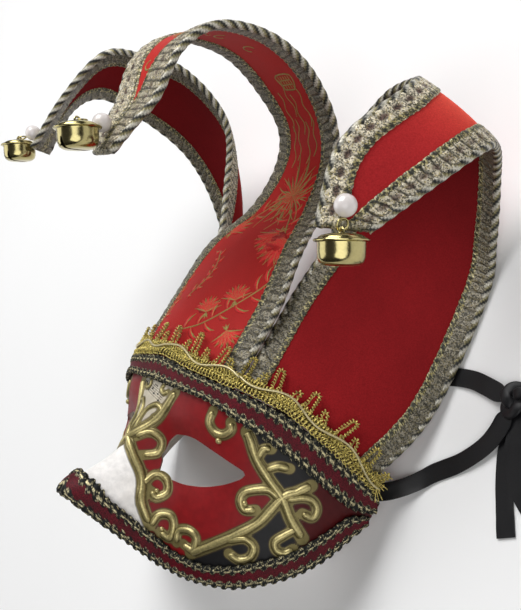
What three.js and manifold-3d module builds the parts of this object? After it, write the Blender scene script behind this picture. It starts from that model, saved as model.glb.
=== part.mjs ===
// Venetian jester half mask: a papier-mâché face with gilded scrollwork and three trimmed horns.
// Millimetres. Everything is shaped in the mask's own frame, as it is worn: x to the viewer's
// right, y up the face, z out of the face. The last lines lay the mask on its back on z = 0.
import * as THREE from "three";
import { ConvexGeometry } from "three/addons/geometries/ConvexGeometry.js";
import { mergeVertices } from "three/addons/utils/BufferGeometryUtils.js";
import Module from "manifold-3d";

const wasm = await Module();
wasm.setup();

// Driving dimensions
const SHELL_WALL = 2.5;
const FACE_ROUND = 2.2; // exponent of the rounded plan of the head
const TEMPLE_ANGLE = 85; // degrees round the head where the face ends
const NOSE_ANGLE = 14; // and where the nose ends
const GAP = 0.35; // between pieces that touch
const FOOT_GAP = 1; // between the rim of the face and the feet of the horns, under the lace
const GIMP_THICK = 2.6;
const GIMP_EDGE = 0.75; // share of its thickness left at the edges of a gimp band
const GIMP_INSET = 0.3; // of the upper band below the top of the face
const BAND_APART = 0.6; // least distance between the two bands, near the temples
const BAND_SHORT = 2; // degrees by which the lower band stops before the temple
const HORN_CLOTH = 2;
const HORN_BRAID_WIDTH = 10;
const HORN_BRAID_THICK = 4.4;
const BRAID_EDGE = 0.62; // share of its thickness left at the outer edge of a braid
const BRAID_INSIDE = 0.8; // and along the cloth
const CLOTH_LEAST = 3; // narrowest strip of cloth that shows between the two borders of a braid
const TIP_SEAM = 0.012; // share of a horn between the end of its cloth and its closed braid
const FLAT_TIP = 0.985; // share of a horn above which it no longer bows
const HORN_ROWS = 15;
const LACE_THICK = 1.2;
const LACE_PITCH = 10.5; // degrees between tall points
const LACE_BAND = 6.5;
const LACE_TALL = 16.5;
const LACE_SHORT = 11;
const LACE_LIFT = 0.6; // of the foot of the lace above the rim of the face
const FEET_APART = 1.5; // degrees past the centre horn where the side horns begin to carry the lace
const SCROLL_WIDTH = 3.4;
const SCROLL_HEIGHT = 1.5;
const LOWER_ROWS = 4; // of faces up the shell, below and above the eyes
const UPPER_ROWS = 3;
const STROKE_STEPS = 0.8; // faces along a stroke for each of its points
const SLIVER = 0.05; // edges shorter than this are closed up
const SCROLL_SUNK = 1; // how deep the foot of a stroke goes into the shell
const PEARL_RADIUS = 4.5;
const BELL_RADIUS = 9.3;
const BELL_HEIGHT = 12.5;
const BELL_FLANGE = 10.8;
const BELL_WALL = 0.7;
const BELL_SLIT = 1.8;
const BELL_CUT = 6.9; // twice the height of the slit
const LOOP_RADIUS = 1.35;
const LOOP_WIRE = 0.5;
const LOOP_RISE = 0.75; // from the top of the bell to the middle of its loop
const RING_RADIUS = 2.4;
const RING_WIRE = 0.45;
const RIBBON_WIDTH = 8.5;
const RIBBON_THICK = 0.6;
const KNOT_RADIUS = 4.2;
const KNOT_STRAND = 1.9;
const KNOT_FLAT = 0.7; // how far the knot is pressed down

// How far the finished mask tips over, in degrees about x and y, to lie on three points:
// the left temple and the outer edges of the two side horns
const REST_TURN_X = 8.68;
const REST_TURN_Y = -3.59;

// Profiles, each a list of knots [where, value]
const HEAD_HALF_WIDTH = curve([[-60, 80], [-20, 85], [20, 86], [60, 82]]);
const HEAD_DEPTH = curve([[-60, 72], [-30, 79], [0, 81], [20, 81], [60, 77]]);
const NOSE_RISE = curve([
  [-46, 30], [-22, 39], [-15, 31], [-7, 20], [0, 13], [8, 10], [16, 6], [30, 1], [60, 0],
]);
const NOSE_SPREAD = curve([[-46, 19], [-22, 17], [0, 11], [60, 10]]);
// The rims and the inner borders of the two gimp bands, as heights over the angle round the head
const TOP_RIM = curve([
  [0, 45.6], [16, 42.3], [32, 39.3], [50, 33], [60, 26.2], [70, 17.7], [80, 8], [85, 2.5],
]);
const BROW_BORDER = curve([
  [0, 33.5], [20, 31.8], [40, 23.8], [50, 17.9], [60, 10.2], [70, 1.4], [78, -4], [85, -5],
]);
const LOW_RIM = curve([
  [0, -21.5], [4, -27.8], [8, -36.8], [12, -44], [16, -47.9], [26, -49.9], [40, -48.3],
  [50, -44.1], [60, -38], [70, -28.7], [80, -14.3], [85, -7],
]);
const LOW_BORDER = curve([
  [0, -14.7], [4, -17.2], [8, -24], [12, -31.7], [16, -36.2], [20, -39.4], [30, -41], [40, -38.4],
  [50, -33], [60, -26.2], [70, -15], [78, -6.5], [85, -6],
]);
const EYE_FROM = 7.8;
const EYE_TO = 40.8;
const EYE_HIGH = curve([[7.8, 0.5], [9, 8], [12, 12.2], [17, 13.2], [27, 10], [35, 6.8], [40.8, 3]]);
const EYE_LOW = curve([
  [7.8, 0.5], [9, -7], [11, -9.2], [16, -9.9], [24, -8.4], [33, -4.2], [38.6, 0.8], [40.8, 3],
]);

// The horns: places along each piece from the rim of the face to its tip, as the two edges
// [x, y, z] of the left and of the right border and how far the middle bows forward.
// The first place of each is the rim itself, between the two angles in `rim`.
const CENTRE_HORN = {
  rim: [-31, 31],
  stations: [
    [46, 77, 53, 7], [40.5, 106, 42, 4], [30, 129, 26.5, 2], [25, 155, 18, 1], [23, 176, 22, 1],
    [25, 194, 41, 0], [24.5, 204, 62, 0], [24, 205, 84, 0], [24, 199, 102, 0], [23, 184, 115, 0],
    [20, 162, 120, 0], [15, 147, 127, 0], [8.5, 134.5, 131.5, 0],
  ].map(([half, y, z, bow]) => ({ left: [-half, y, z], right: [half, y, z], bow })),
};
const RIGHT_HORN = {
  rim: [34, 81],
  stations: [
    [[41, 83, 42], [97, 43, -5], 2], [[43, 122, 25], [105, 100, -18], -6],
    [[49, 160, 30], [107, 126, -15], -6], [[73, 181, 35], [115, 151, -1], -4],
    [[102, 183, 44], [130, 159, 20], -2], [[118, 171, 64], [142, 153, 41], 0],
    [[113, 145, 86], [136, 133, 61], 0], [[110, 112, 88], [123, 114, 74], 0],
  ].map(([left, right, bow]) => ({ left, right, bow })),
};
const LEFT_HORN = {
  rim: [-81, -34],
  stations: [
    [[-87, 52, 2], [-50, 95, 34], 0], [[-91, 96, -4], [-62, 146, 26], -8],
    [[-100, 133, 6], [-67, 181, 32], -6], [[-111, 162, 26], [-80, 204, 57], -3],
    [[-124, 179, 53], [-95, 208, 81], 0], [[-135, 187, 80], [-106, 204, 97], 0],
    [[-141, 175, 96], [-121, 178, 109], 0], [[-146, 146, 104], [-136, 146, 117], 0],
  ].map(([left, right, bow]) => ({ left, right, bow })),
};

// Where each pearl sits on its horn, as shares across and up, and the bell's centre and axis
const BELLS = {
  centre: { pearl: [0.45, 0.935], bell: [2.8, 138.2, 146.2], bellUp: [-0.1, 0.98, 0.2], slitTurn: 0 },
  right: { pearl: [0.37, 0.96], bell: [120.8, 104.9, 83.2], bellUp: [-0.08, 0.98, 0.16], slitTurn: 60 },
  left: { pearl: [0.77, 0.975], bell: [-149, 144, 120], bellUp: [-0.1, 0.98, 0.2], slitTurn: 85 },
};

// Gilded strokes on the right half of the face, as [degrees round the head, height].
// The left half has the same strokes mirrored.
const GILDED_STROKES = [
  [[-9.4, 31], [-6.7, 22], [-4, 14.5], [0, 5], [3, -2], [8.8, -14.5], [12.9, -30.2]],
  [[25.8, -38.4], [34.3, -30.8], [42, -23.1], [48.4, -15.6], [54.2, -3.3], [58.5, 0.4], [62.6, 4.2]],
  [[39.4, 22.2], [40.8, 19.3], [43.7, 11.6], [48.7, 4], [54.2, -3.3], [58.3, -12.1], [63, -19.6]],
  [[1.8, 6.4], [4.3, 9.8], [7, 7], [6.8, 1], [4.6, -1.6]],
  [[8.6, -14], [8.9, -9.1], [11.7, -10.2], [13.8, -15], [12.5, -18.4], [10.8, -16.4]],
  [[13.1, -31.2], [14.4, -25.3], [17.3, -24.9], [18.8, -29], [18, -34.6], [15.3, -33.2]],
  [[20.3, -35.8], [20.8, -30], [24.6, -28.4], [27.7, -30.8], [26.7, -36.5], [23, -35.5]],
  [[53.4, -4], [49.8, -1.1], [46.2, -1.7], [42, -4.3], [41, -8.3], [42.8, -11.9], [46.5, -11]],
  [[55.5, -3.8], [60.6, -1.6], [64, -2.2], [65.9, -5.9], [65, -9.7], [61.5, -8.6]],
  [[38.5, -27.5], [44.3, -24.7], [47.8, -27.3], [47.3, -32.1], [43.7, -34.6], [40, -33]],
  [[60.8, -15.4], [56.7, -19.8], [54.4, -23.1], [55.3, -26.6], [58.1, -27.3], [60.5, -25]],
  [[26.4, 27.6], [26, 22.5], [28.1, 19], [31.2, 18.4], [34, 21.3], [33.5, 24.6]],
  [[44, 11.5], [45.5, 16.2], [48, 17.2]],
  [[47.6, 7.5], [51, 10.1], [54.8, 10.1]],
];

// The ribbons lie on the floor round the finished mask: points [x, y, z] of each middle line,
// from the temples to the knot and from the knot to the cut ends
const KNOT_AT = [151, -9, 2.9];
const RIGHT_RIBBON_ROUTE = [
  [93, -66.5, 13.2], [97.1, -65.2, 9.5], [101.3, -63.1, 6.4], [105.6, -60.1, 4.1], [109.7, -56.7, 2.3],
  [113.8, -53, 1.1], [118.1, -49.3, 0.6], [122.8, -46.2, 0.5], [127.6, -43.2, 0.6], [132.2, -39.9, 0.9],
  [136.5, -36.2, 1.3], [140.5, -32.2, 1.8], [143.9, -27.7, 2.3], [146.5, -22.7, 2.7], [148.2, -17.3, 3],
];
const LEFT_RIBBON_ROUTE = [
  [-70.5, -66, 0.5], [-62, -65.4, 0.5], [-50, -63.8, 0.5], [-35, -60.4, 0.5], [-18, -55.4, 0.5],
  [0, -49, 0.5], [20, -41, 0.5], [42, -31.5, 0.5], [64, -21.8, 0.5], [84, -13.5, 0.5],
  [100, -8, 0.5], [113, -4.9, 0.5], [125, -4.2, 1], [134, -5.6, 2.2], [142.6, -7.6, 2.9],
];
const RIGHT_END_ROUTE = [
  [151.2, -17.9, 0.9], [151.1, -21.3, 0.6], [151.3, -24.8, 0.5], [151.6, -28.2, 0.5], [152, -31.7, 0.5],
  [152.6, -35, 0.5], [153.3, -38.4, 0.5], [154.2, -41.8, 0.5], [155.2, -45.1, 0.5], [156.3, -48.3, 0.5],
  [157.5, -51.6, 0.5], [158.6, -54.8, 0.5], [159.9, -58.1, 0.5], [161.1, -61.3, 0.5], [162.4, -64.5, 0.5],
];
const LEFT_END_ROUTE = [
  [154.4, -17.3, 1.9], [154.7, -22.4, 1.8], [155.4, -27.4, 1.8], [156.5, -32.3, 1.7], [158.4, -37, 1.7],
  [160.9, -41.4, 1.7], [164.1, -45.4, 1.7], [167.8, -48.8, 1.5], [171.9, -51.7, 1.3], [176.4, -54.1, 0.9],
  [181.1, -55.9, 0.7], [186, -57.3, 0.5], [190.9, -58.3, 0.5], [196, -58.9, 0.5], [201, -59.4, 0.5],
];

const FACE_PAINT = new THREE.MeshStandardMaterial({ color: 0xe8e4dc, roughness: 0.35 });
const GIMP = new THREE.MeshStandardMaterial({ color: 0x54141c, roughness: 0.8 });
const GOLD_LACE = new THREE.MeshStandardMaterial({ color: 0xc9a227, roughness: 0.45, metalness: 0.5 });
const RED_VELVET = new THREE.MeshStandardMaterial({ color: 0x8d1018, roughness: 0.95 });
const BROCADE = new THREE.MeshStandardMaterial({ color: 0xa4161d, roughness: 0.7 });
const SILVER_BRAID = new THREE.MeshStandardMaterial({ color: 0x8f8b78, roughness: 0.55, metalness: 0.4 });
const PEARL = new THREE.MeshStandardMaterial({ color: 0xf1e8e6, roughness: 0.2 });
const BRASS = new THREE.MeshStandardMaterial({ color: 0xc9b25a, roughness: 0.25, metalness: 1 });
const SATIN = new THREE.MeshStandardMaterial({ color: 0x0b0b0d, roughness: 0.4 });

// Smooth curve through knots that never overshoots them, level outside them
function curve(knots) {
  const rise = knots.slice(1).map(([x, y], i) => (y - knots[i][1]) / (x - knots[i][0]));
  const slope = knots.map((_, i) => {
    if (i === 0) return rise[0];
    if (i === knots.length - 1) return rise[i - 1];
    if (rise[i - 1] * rise[i] <= 0) return 0;
    return (2 * rise[i - 1] * rise[i]) / (rise[i - 1] + rise[i]);
  });
  return (where) => {
    const x = THREE.MathUtils.clamp(where, knots[0][0], knots.at(-1)[0]);
    const i = Math.min(knots.findLastIndex(([k]) => k <= x), knots.length - 2);
    const width = knots[i + 1][0] - knots[i][0];
    const f = (x - knots[i][0]) / width;
    const g = 1 - f;
    return (
      knots[i][1] * (1 + 2 * f) * g * g + slope[i] * width * f * g * g +
      knots[i + 1][1] * (3 - 2 * f) * f * f - slope[i + 1] * width * f * f * g
    );
  };
}

// Point at a share of the way through a list of points, on a smooth curve with straight ends
function along(points, share) {
  const last = points.length - 1;
  const k = Math.min(Math.floor(share * last), last - 1);
  const f = share * last - k;
  const at = (i, axis) => {
    if (i < 0) return 2 * points[0][axis] - points[1][axis];
    if (i > last) return 2 * points[last][axis] - points[last - 1][axis];
    return points[i][axis];
  };
  return points[0].map((_, axis) => {
    const [p, q, r, s] = [at(k - 1, axis), at(k, axis), at(k + 1, axis), at(k + 2, axis)];
    return q + 0.5 * f * (r - p + f * (2 * p - 5 * q + 4 * r - s + f * (3 * (q - r) + s - p)));
  });
}

// Middle surface of the face: a rounded head, the ridge of the nose and a shallow eye socket
function facePoint(angle, height) {
  const a = THREE.MathUtils.degToRad(angle);
  const power = 2 / FACE_ROUND;
  const x = HEAD_HALF_WIDTH(height) * Math.sign(a) * Math.abs(Math.sin(a)) ** power;
  const nose = NOSE_RISE(height) * Math.exp(-((Math.abs(x) / NOSE_SPREAD(height)) ** 2.3));
  const socket = 5 * Math.exp(-(((Math.abs(x) - 30) / 19) ** 2) - ((height - 2) / 16) ** 2);
  const brow = 1.5 * Math.exp(-(((Math.abs(x) - 32) / 26) ** 2) - ((height - 22) / 9) ** 2);
  const z = HEAD_DEPTH(height) * Math.abs(Math.cos(a)) ** power + nose - socket + brow;
  return new THREE.Vector3(x, height, z);
}

// A surface of two parameters with its unit normal, from small steps either way
function withNormal(surface, step) {
  return (u, v) => {
    const across = surface(u + step, v).sub(surface(u - step, v));
    const up = surface(u, v + step).sub(surface(u, v - step));
    return { point: surface(u, v), normal: across.cross(up).normalize() };
  };
}

const face = withNormal(facePoint, 0.05);

// Middle surface of a horn: across runs 0 to 1 from its left to its right edge, and up runs 0 to 1
// from the rim to its tip
function hornSurface({ rim, stations }) {
  const rimPoint = (across) => {
    const angle = THREE.MathUtils.lerp(rim[0], rim[1], across);
    return facePoint(angle, TOP_RIM(Math.abs(angle)) + FOOT_GAP);
  };
  const left = [rimPoint(0).toArray(), ...stations.map((s) => s.left)];
  const right = [rimPoint(1).toArray(), ...stations.map((s) => s.right)];
  const bows = [[0], ...stations.map((s) => [s.bow])];
  const flat = (across, up) => {
    const share = THREE.MathUtils.clamp(up, 0, 1);
    const a = new THREE.Vector3(...along(left, share));
    const b = new THREE.Vector3(...along(right, share));
    const point = a.clone().lerp(b, across);
    const later = new THREE.Vector3(...along(left, Math.min(share + 0.01, 1)));
    const forward = b.sub(a).cross(later.sub(a)).normalize();
    if (share > FLAT_TIP) return point;
    return point.addScaledVector(forward, along(bows, share)[0] * 4 * across * (1 - across));
  };
  // The first stretch eases from the curved rim of the face to the horn's own section
  const ease = 1 / stations.length;
  const eased = (across, up) => {
    const weight = Math.max(0, 1 - Math.max(up, 0) / (2 * ease)) ** 2;
    const off = rimPoint(across).sub(flat(across, 0));
    return flat(across, up).addScaledVector(off, weight);
  };
  return withNormal(eased, 0.004);
}

// Geometry of an open sheet of quads given as rows of { point, normal, half }, thickened both
// ways by half. Quads are left out where keep says no, and alike points are one.
function thickSheet(rows, keep = () => true) {
  const index = new Map();
  const nodes = [];
  const idOf = (node) => {
    const key = node.point.toArray().map((c) => Math.round(c * 1000)).join();
    if (!index.has(key)) {
      index.set(key, nodes.length);
      nodes.push(node);
    }
    return index.get(key);
  };
  const ids = rows.map((row) => row.map(idOf));
  const triangles = [];
  for (let r = 0; r + 1 < rows.length; r++)
    for (let c = 0; c + 1 < rows[r].length; c++) {
      if (!keep(r, c)) continue;
      const [a, b, d, e] = [ids[r][c], ids[r][c + 1], ids[r + 1][c + 1], ids[r + 1][c]];
      triangles.push([a, b, d], [a, d, e]);
    }
  const faces = triangles.filter(([a, b, c]) => a !== b && b !== c && c !== a);
  const edges = new Map();
  for (const [a, b, c] of faces)
    for (const [p, q] of [[a, b], [b, c], [c, a]])
      if (!edges.delete(q + ":" + p)) edges.set(p + ":" + q, [p, q]);
  const n = nodes.length;
  const positions = [1, -1].flatMap((side) =>
    nodes.flatMap(({ point, normal, half }) => point.clone().addScaledVector(normal, side * half).toArray()),
  );
  const indices = faces.flatMap(([a, b, c]) => [a, b, c, n + a, n + c, n + b]);
  for (const [p, q] of edges.values()) indices.push(q, p, n + p, q, n + p, n + q);
  const geometry = new THREE.BufferGeometry();
  geometry.setAttribute("position", new THREE.Float32BufferAttribute(positions, 3));
  geometry.setIndex(indices);
  return geometry;
}

function solidOf(geometry) {
  const bare = geometry.clone();
  bare.deleteAttribute("normal");
  bare.deleteAttribute("uv");
  const merged = mergeVertices(bare, 1e-3);
  return new wasm.Manifold(
    new wasm.Mesh({
      numProp: 3,
      vertProperties: new Float32Array(merged.attributes.position.array),
      triVerts: new Uint32Array(merged.index.array),
    }),
  );
}

function geometryOf(solid) {
  const { numProp, vertProperties, triVerts } = solid.getMesh();
  const geometry = new THREE.BufferGeometry();
  geometry.setAttribute("position", new THREE.BufferAttribute(new Float32Array(vertProperties), numProp));
  geometry.setIndex(new THREE.BufferAttribute(new Uint32Array(triVerts), 1));
  return geometry;
}

function piece(name, geometry, material) {
  const mesh = new THREE.Mesh(geometry, material);
  mesh.name = name;
  return mesh;
}

function steps(from, to, count) {
  return Array.from({ length: count + 1 }, (_, i) => from + ((to - from) * i) / count);
}

// Angles across one half of the face, closer together at the nose and at the corners of the eye
function faceAngles() {
  const eye = steps(0, Math.PI, 11).map((t) => EYE_FROM + ((EYE_TO - EYE_FROM) * (1 - Math.cos(t))) / 2);
  const half = [...steps(0, EYE_FROM, 3).slice(0, -1), ...eye, ...steps(EYE_TO, TEMPLE_ANGLE, 6).slice(1)];
  return [...half.slice(1).reverse().map((a) => -a), ...half];
}

// The face as rows of points in two strips that meet outside the eyes, with the eye holes between them
function faceRows(angles) {
  const eyeSpan = (angle) => {
    const a = Math.abs(angle);
    if (a <= EYE_FROM || a >= EYE_TO) return [EYE_HIGH(a), EYE_HIGH(a)];
    return [EYE_LOW(a), EYE_HIGH(a)];
  };
  const strip = (low, high, count) =>
    steps(0, 1, count).map((f) =>
      angles.map((a) => ({ ...face(a, THREE.MathUtils.lerp(low(a), high(a), f)), half: SHELL_WALL / 2 })),
    );
  const lower = strip((a) => LOW_RIM(Math.abs(a)), (a) => eyeSpan(a)[0], LOWER_ROWS);
  const upper = strip((a) => eyeSpan(a)[1], (a) => TOP_RIM(Math.abs(a)), UPPER_ROWS);
  return [...lower, ...upper];
}

// The place on the flat facets of the shell at an angle and a height, with its normal
function onFacets(angles, rows, angle, height) {
  const c = THREE.MathUtils.clamp(angles.findLastIndex((a) => a <= angle), 0, angles.length - 2);
  const f = (angle - angles[c]) / (angles[c + 1] - angles[c]);
  const edge = rows.map((row) => ({
    point: row[c].point.clone().lerp(row[c + 1].point, f),
    normal: row[c].normal.clone().lerp(row[c + 1].normal, f),
  }));
  const r = THREE.MathUtils.clamp(edge.findLastIndex(({ point }) => point.y <= height), 0, rows.length - 2);
  const g = (height - edge[r].point.y) / Math.max(edge[r + 1].point.y - edge[r].point.y, SLIVER);
  const normal = edge[r].normal.lerp(edge[r + 1].normal, g).normalize();
  return { point: edge[r].point.lerp(edge[r + 1].point, g), normal };
}

// A raised stroke of three sides through a list of places on a surface, sunk a little into it,
// as one convex solid for each of its stretches
function gildedStroke(points, surface) {
  const at = (share) => surface(...along(points, share));
  const count = Math.max(3, Math.round((points.length - 1) * STROKE_STEPS));
  const section = (share) => {
    const { point, normal } = at(share);
    const ahead = at(Math.min(share + 0.01, 1)).point.sub(at(Math.max(share - 0.01, 0)).point);
    const side = ahead.cross(normal).normalize();
    const taper = 0.55 + 0.45 * Math.sin(Math.PI * Math.min(Math.max(share, 0.08), 0.92));
    const sunk = SHELL_WALL / 2 - SCROLL_SUNK;
    return [[-0.5, sunk], [0.5, sunk], [0, SHELL_WALL / 2 + SCROLL_HEIGHT * taper]].map(([across, out]) =>
      point.clone().addScaledVector(side, across * SCROLL_WIDTH * taper).addScaledVector(normal, out),
    );
  };
  const sections = steps(0, 1, count).map(section);
  return sections.slice(1).map((end, i) => new ConvexGeometry([...sections[i], ...end]));
}

function maskShell() {
  const angles = faceAngles();
  const rows = faceRows(angles);
  let solid = solidOf(thickSheet(rows, (r) => r !== LOWER_ROWS));
  for (const stroke of GILDED_STROKES)
    for (const half of [1, -1]) {
      const surface = (angle, height) => onFacets(angles, rows, half * angle, height);
      for (const stretch of gildedStroke(stroke, surface)) solid = solid.add(solidOf(stretch));
    }
  return piece("mask_shell", geometryOf(outerSkin(solid.setTolerance(SLIVER))), FACE_PAINT);
}

// Where the foot of a stroke spans a hollow of the face it closes off a bubble, so only the outer
// skin is kept
function outerSkin(solid) {
  const skins = solidOf(geometryOf(solid)).decompose();
  return skins.length === 1 ? skins[0] : outerSkin(skins.sort((a, b) => b.volume() - a.volume())[0]);
}

// A gimp band on the face between two heights, crowned along its middle
function gimpBand(name, low, high, reach) {
  const crown = [GIMP_EDGE, 1, GIMP_EDGE];
  const nose = steps(0, NOSE_ANGLE, 6);
  const half = [...nose, ...steps(NOSE_ANGLE, reach, 13).slice(1)];
  const angles = [...half.slice(1).reverse().map((a) => -a), ...half];
  const rows = [0, 0.5, 1].map((f, k) =>
    angles.map((angle) => {
      const a = Math.abs(angle);
      const { point, normal } = face(angle, THREE.MathUtils.lerp(low(a), high(a), f));
      const half = (GIMP_THICK / 2) * crown[k];
      return { point: point.addScaledVector(normal, SHELL_WALL / 2 + 3 * GAP + half), normal, half };
    }),
  );
  return piece(name, thickSheet(rows), GIMP);
}

function hornWidth(surface, up) {
  return surface(0, up).point.distanceTo(surface(1, up).point);
}

// The share of a horn below which it is wide enough to show cloth between its borders
function clothTip(surface) {
  let tip = 1;
  while (hornWidth(surface, tip) < 2 * HORN_BRAID_WIDTH + CLOTH_LEAST) tip -= 0.01;
  return tip;
}

// The covered card of a horn, inside its braid
function hornCloth(name, surface, tip, material) {
  const sheet = steps(0, tip, HORN_ROWS).map((up) => {
    const border = (HORN_BRAID_WIDTH + 2 * GAP) / hornWidth(surface, up);
    return steps(border, 1 - border, 4).map((across) => ({ ...surface(across, up), half: HORN_CLOTH / 2 }));
  });
  return piece(name, thickSheet(sheet), material);
}

// The braid round a horn: a crowned band along both borders that closes over the tip
function hornBraid(name, surface, tip) {
  const ups = [...steps(0, tip, HORN_ROWS), ...steps(tip + TIP_SEAM, 1, 3)];
  const thin = [BRAID_EDGE, 1, BRAID_INSIDE, BRAID_INSIDE, 1, BRAID_EDGE];
  const sheet = ups.map((up) => {
    const width = hornWidth(surface, up);
    const band = Math.min(HORN_BRAID_WIDTH, width / 2 - 0.4) / width;
    return [0, band / 2, band, 1 - band, 1 - band / 2, 1].map((across, k) => ({
      ...surface(across, up),
      half: (HORN_BRAID_THICK / 2) * thin[k],
    }));
  });
  return piece(name, thickSheet(sheet, (r, c) => c !== 2 || r > HORN_ROWS), SILVER_BRAID);
}

const HORNS = {
  centre: { surface: hornSurface(CENTRE_HORN), rim: CENTRE_HORN.rim, cover: BROCADE },
  right: { surface: hornSurface(RIGHT_HORN), rim: RIGHT_HORN.rim, cover: RED_VELVET },
  left: { surface: hornSurface(LEFT_HORN), rim: LEFT_HORN.rim, cover: RED_VELVET },
};

// The gold lace stands on the brow band and lies against the feet of the horns
function goldLace() {
  const off = HORN_BRAID_THICK / 2 + 3 * GAP + LACE_THICK / 2;
  const reach = TEMPLE_ANGLE - BAND_SHORT;
  const count = Math.round((2 * reach) / (LACE_PITCH / 4));
  const top = [LACE_TALL, LACE_BAND, LACE_SHORT, LACE_BAND];
  const foot = (angle) => {
    const beside = Math.abs(angle) > CENTRE_HORN.rim[1] + FEET_APART;
    const { surface, rim } = beside ? (angle > 0 ? HORNS.right : HORNS.left) : HORNS.centre;
    const across = THREE.MathUtils.clamp((angle - rim[0]) / (rim[1] - rim[0]), 0, 1);
    const low = surface(across, 0.001);
    const rise = surface(across, 0.05).point.sub(low.point).normalize();
    const point = facePoint(angle, TOP_RIM(Math.abs(angle)) + GAP);
    return { point, rise, normal: low.normal };
  };
  const rows = [0, 1].map((f) =>
    steps(-reach, reach, count).map((angle, i) => {
      const { point, rise, normal } = foot(angle);
      const height = LACE_LIFT + f * top[i % top.length];
      point.addScaledVector(rise, height).addScaledVector(normal, off);
      return { point, normal, half: LACE_THICK / 2 };
    }),
  );
  return piece("gold_lace", thickSheet(rows), GOLD_LACE);
}

function unit(...coordinates) {
  return new THREE.Vector3(...coordinates).normalize();
}

// A hollow pressed bell about its own axis, with a flange, a loop on top, and a slit below that is
// turned about the axis by so many degrees
function bellGeometry(slitTurn) {
  const h = BELL_HEIGHT / 2;
  const skin = (radius, half) =>
    [
      [0, -half], [0.6 * radius, -0.88 * half], [0.93 * radius, -0.45 * half], [0.98 * radius, 0.45 * half],
      [0.88 * radius, 0.85 * half], [0, half],
    ].map(([r, y]) => new THREE.Vector2(r, y));
  const outside = skin(BELL_RADIUS, h);
  outside.splice(4, 0, new THREE.Vector2(BELL_FLANGE, 0.5 * h), new THREE.Vector2(BELL_FLANGE, 0.62 * h));
  const turned = (profile) => solidOf(new THREE.LatheGeometry(profile, 10));
  const slit = new THREE.BoxGeometry(2 * BELL_FLANGE, BELL_CUT, BELL_SLIT).translate(0, -h, 0);
  slit.rotateY(THREE.MathUtils.degToRad(slitTurn));
  const loop = new THREE.TorusGeometry(LOOP_RADIUS, LOOP_WIRE, 4, 8).translate(0, h + LOOP_RISE, 0);
  const hollow = turned(outside).subtract(turned(skin(BELL_RADIUS - BELL_WALL, h - BELL_WALL)));
  return geometryOf(hollow.subtract(solidOf(slit)).add(solidOf(loop)));
}

// The pearl sewn to the outer face near a horn's tip, and the bell that hangs from it by a ring
function bellAndPearl(side, surface, { pearl, bell, bellUp, slitTurn }) {
  const seat = surface(...pearl);
  const off = HORN_BRAID_THICK / 2 + GAP + PEARL_RADIUS;
  const pearlAt = seat.point.clone().addScaledVector(seat.normal, -off);
  const pearlMesh = piece(side + "_pearl", new THREE.IcosahedronGeometry(PEARL_RADIUS, 1), PEARL);
  pearlMesh.position.copy(pearlAt);

  const up = unit(...bellUp);
  const bellMesh = piece(side + "_bell", bellGeometry(slitTurn), BRASS);
  bellMesh.position.set(...bell);
  const eye = bellMesh.position.clone().addScaledVector(up, BELL_HEIGHT / 2 + LOOP_RISE);
  const pull = pearlAt.clone().sub(eye).normalize();
  const through = up.clone().cross(pull).normalize();
  const bellAxes = new THREE.Matrix4().makeBasis(up.clone().cross(through), up, through);
  bellMesh.quaternion.setFromRotationMatrix(bellAxes);

  const ring = piece(side + "_ring", new THREE.TorusGeometry(RING_RADIUS, RING_WIRE, 4, 8), BRASS);
  ring.position.copy(eye).addScaledVector(pull, RING_RADIUS);
  const ringAxes = new THREE.Matrix4().makeBasis(pull, through, pull.clone().cross(through));
  ring.quaternion.setFromRotationMatrix(ringAxes);
  return [pearlMesh, ring, bellMesh];
}

// A satin ribbon along its route, level across its width
function ribbon(name, route) {
  const line = new THREE.CatmullRomCurve3(route.map((p) => new THREE.Vector3(...p)));
  const upright = new THREE.Vector3(0, 0, 1);
  const rows = [-1, 1].map((edge) =>
    steps(0, 1, route.length - 1).map((share) => {
      const ahead = line.getTangent(share);
      const side = upright.clone().cross(ahead).normalize();
      const point = line.getPoint(share).addScaledVector(side, (edge * RIBBON_WIDTH) / 2);
      return { point, normal: ahead.cross(side), half: RIBBON_THICK / 2 };
    }),
  );
  return piece(name, thickSheet(rows), SATIN);
}

function ribbonKnot() {
  const knot = new THREE.TorusKnotGeometry(KNOT_RADIUS, KNOT_STRAND, 32, 4, 2, 3);
  return piece("ribbon_knot", knot.scale(1, 1, KNOT_FLAT).translate(...KNOT_AT), SATIN);
}

const mask = new THREE.Group();
mask.add(maskShell());
mask.add(gimpBand("brow_braid", BROW_BORDER, (a) => TOP_RIM(a) - GIMP_INSET, TEMPLE_ANGLE));
const rimBandTop = (a) => Math.min(LOW_BORDER(a), BROW_BORDER(a) - BAND_APART);
mask.add(gimpBand("lower_braid", LOW_RIM, rimBandTop, TEMPLE_ANGLE - BAND_SHORT));
for (const [side, { surface, cover }] of Object.entries(HORNS)) {
  const tip = clothTip(surface);
  mask.add(hornCloth(side + "_horn", surface, tip, cover));
  mask.add(hornBraid(side + "_horn_braid", surface, tip));
  mask.add(...bellAndPearl(side, surface, BELLS[side]));
}
mask.add(goldLace());
mask.rotation.set(THREE.MathUtils.degToRad(REST_TURN_X), THREE.MathUtils.degToRad(REST_TURN_Y), 0);

// Set down on its lowest point, with the middle of its box at x = y = 0
const box = new THREE.Box3().setFromObject(mask, true);
mask.position.set(-(box.min.x + box.max.x) / 2, -(box.min.y + box.max.y) / 2, -box.min.z);

const finished = new THREE.Group();
finished.add(mask, ribbonKnot());
finished.add(ribbon("right_ribbon", RIGHT_RIBBON_ROUTE), ribbon("right_ribbon_end", RIGHT_END_ROUTE));
finished.add(ribbon("left_ribbon", LEFT_RIBBON_ROUTE), ribbon("left_ribbon_end", LEFT_END_ROUTE));

export default finished;
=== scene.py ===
"""Looks of a Venetian jester half mask, lying face up on a pale floor with its black ribbons beside it."""

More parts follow.
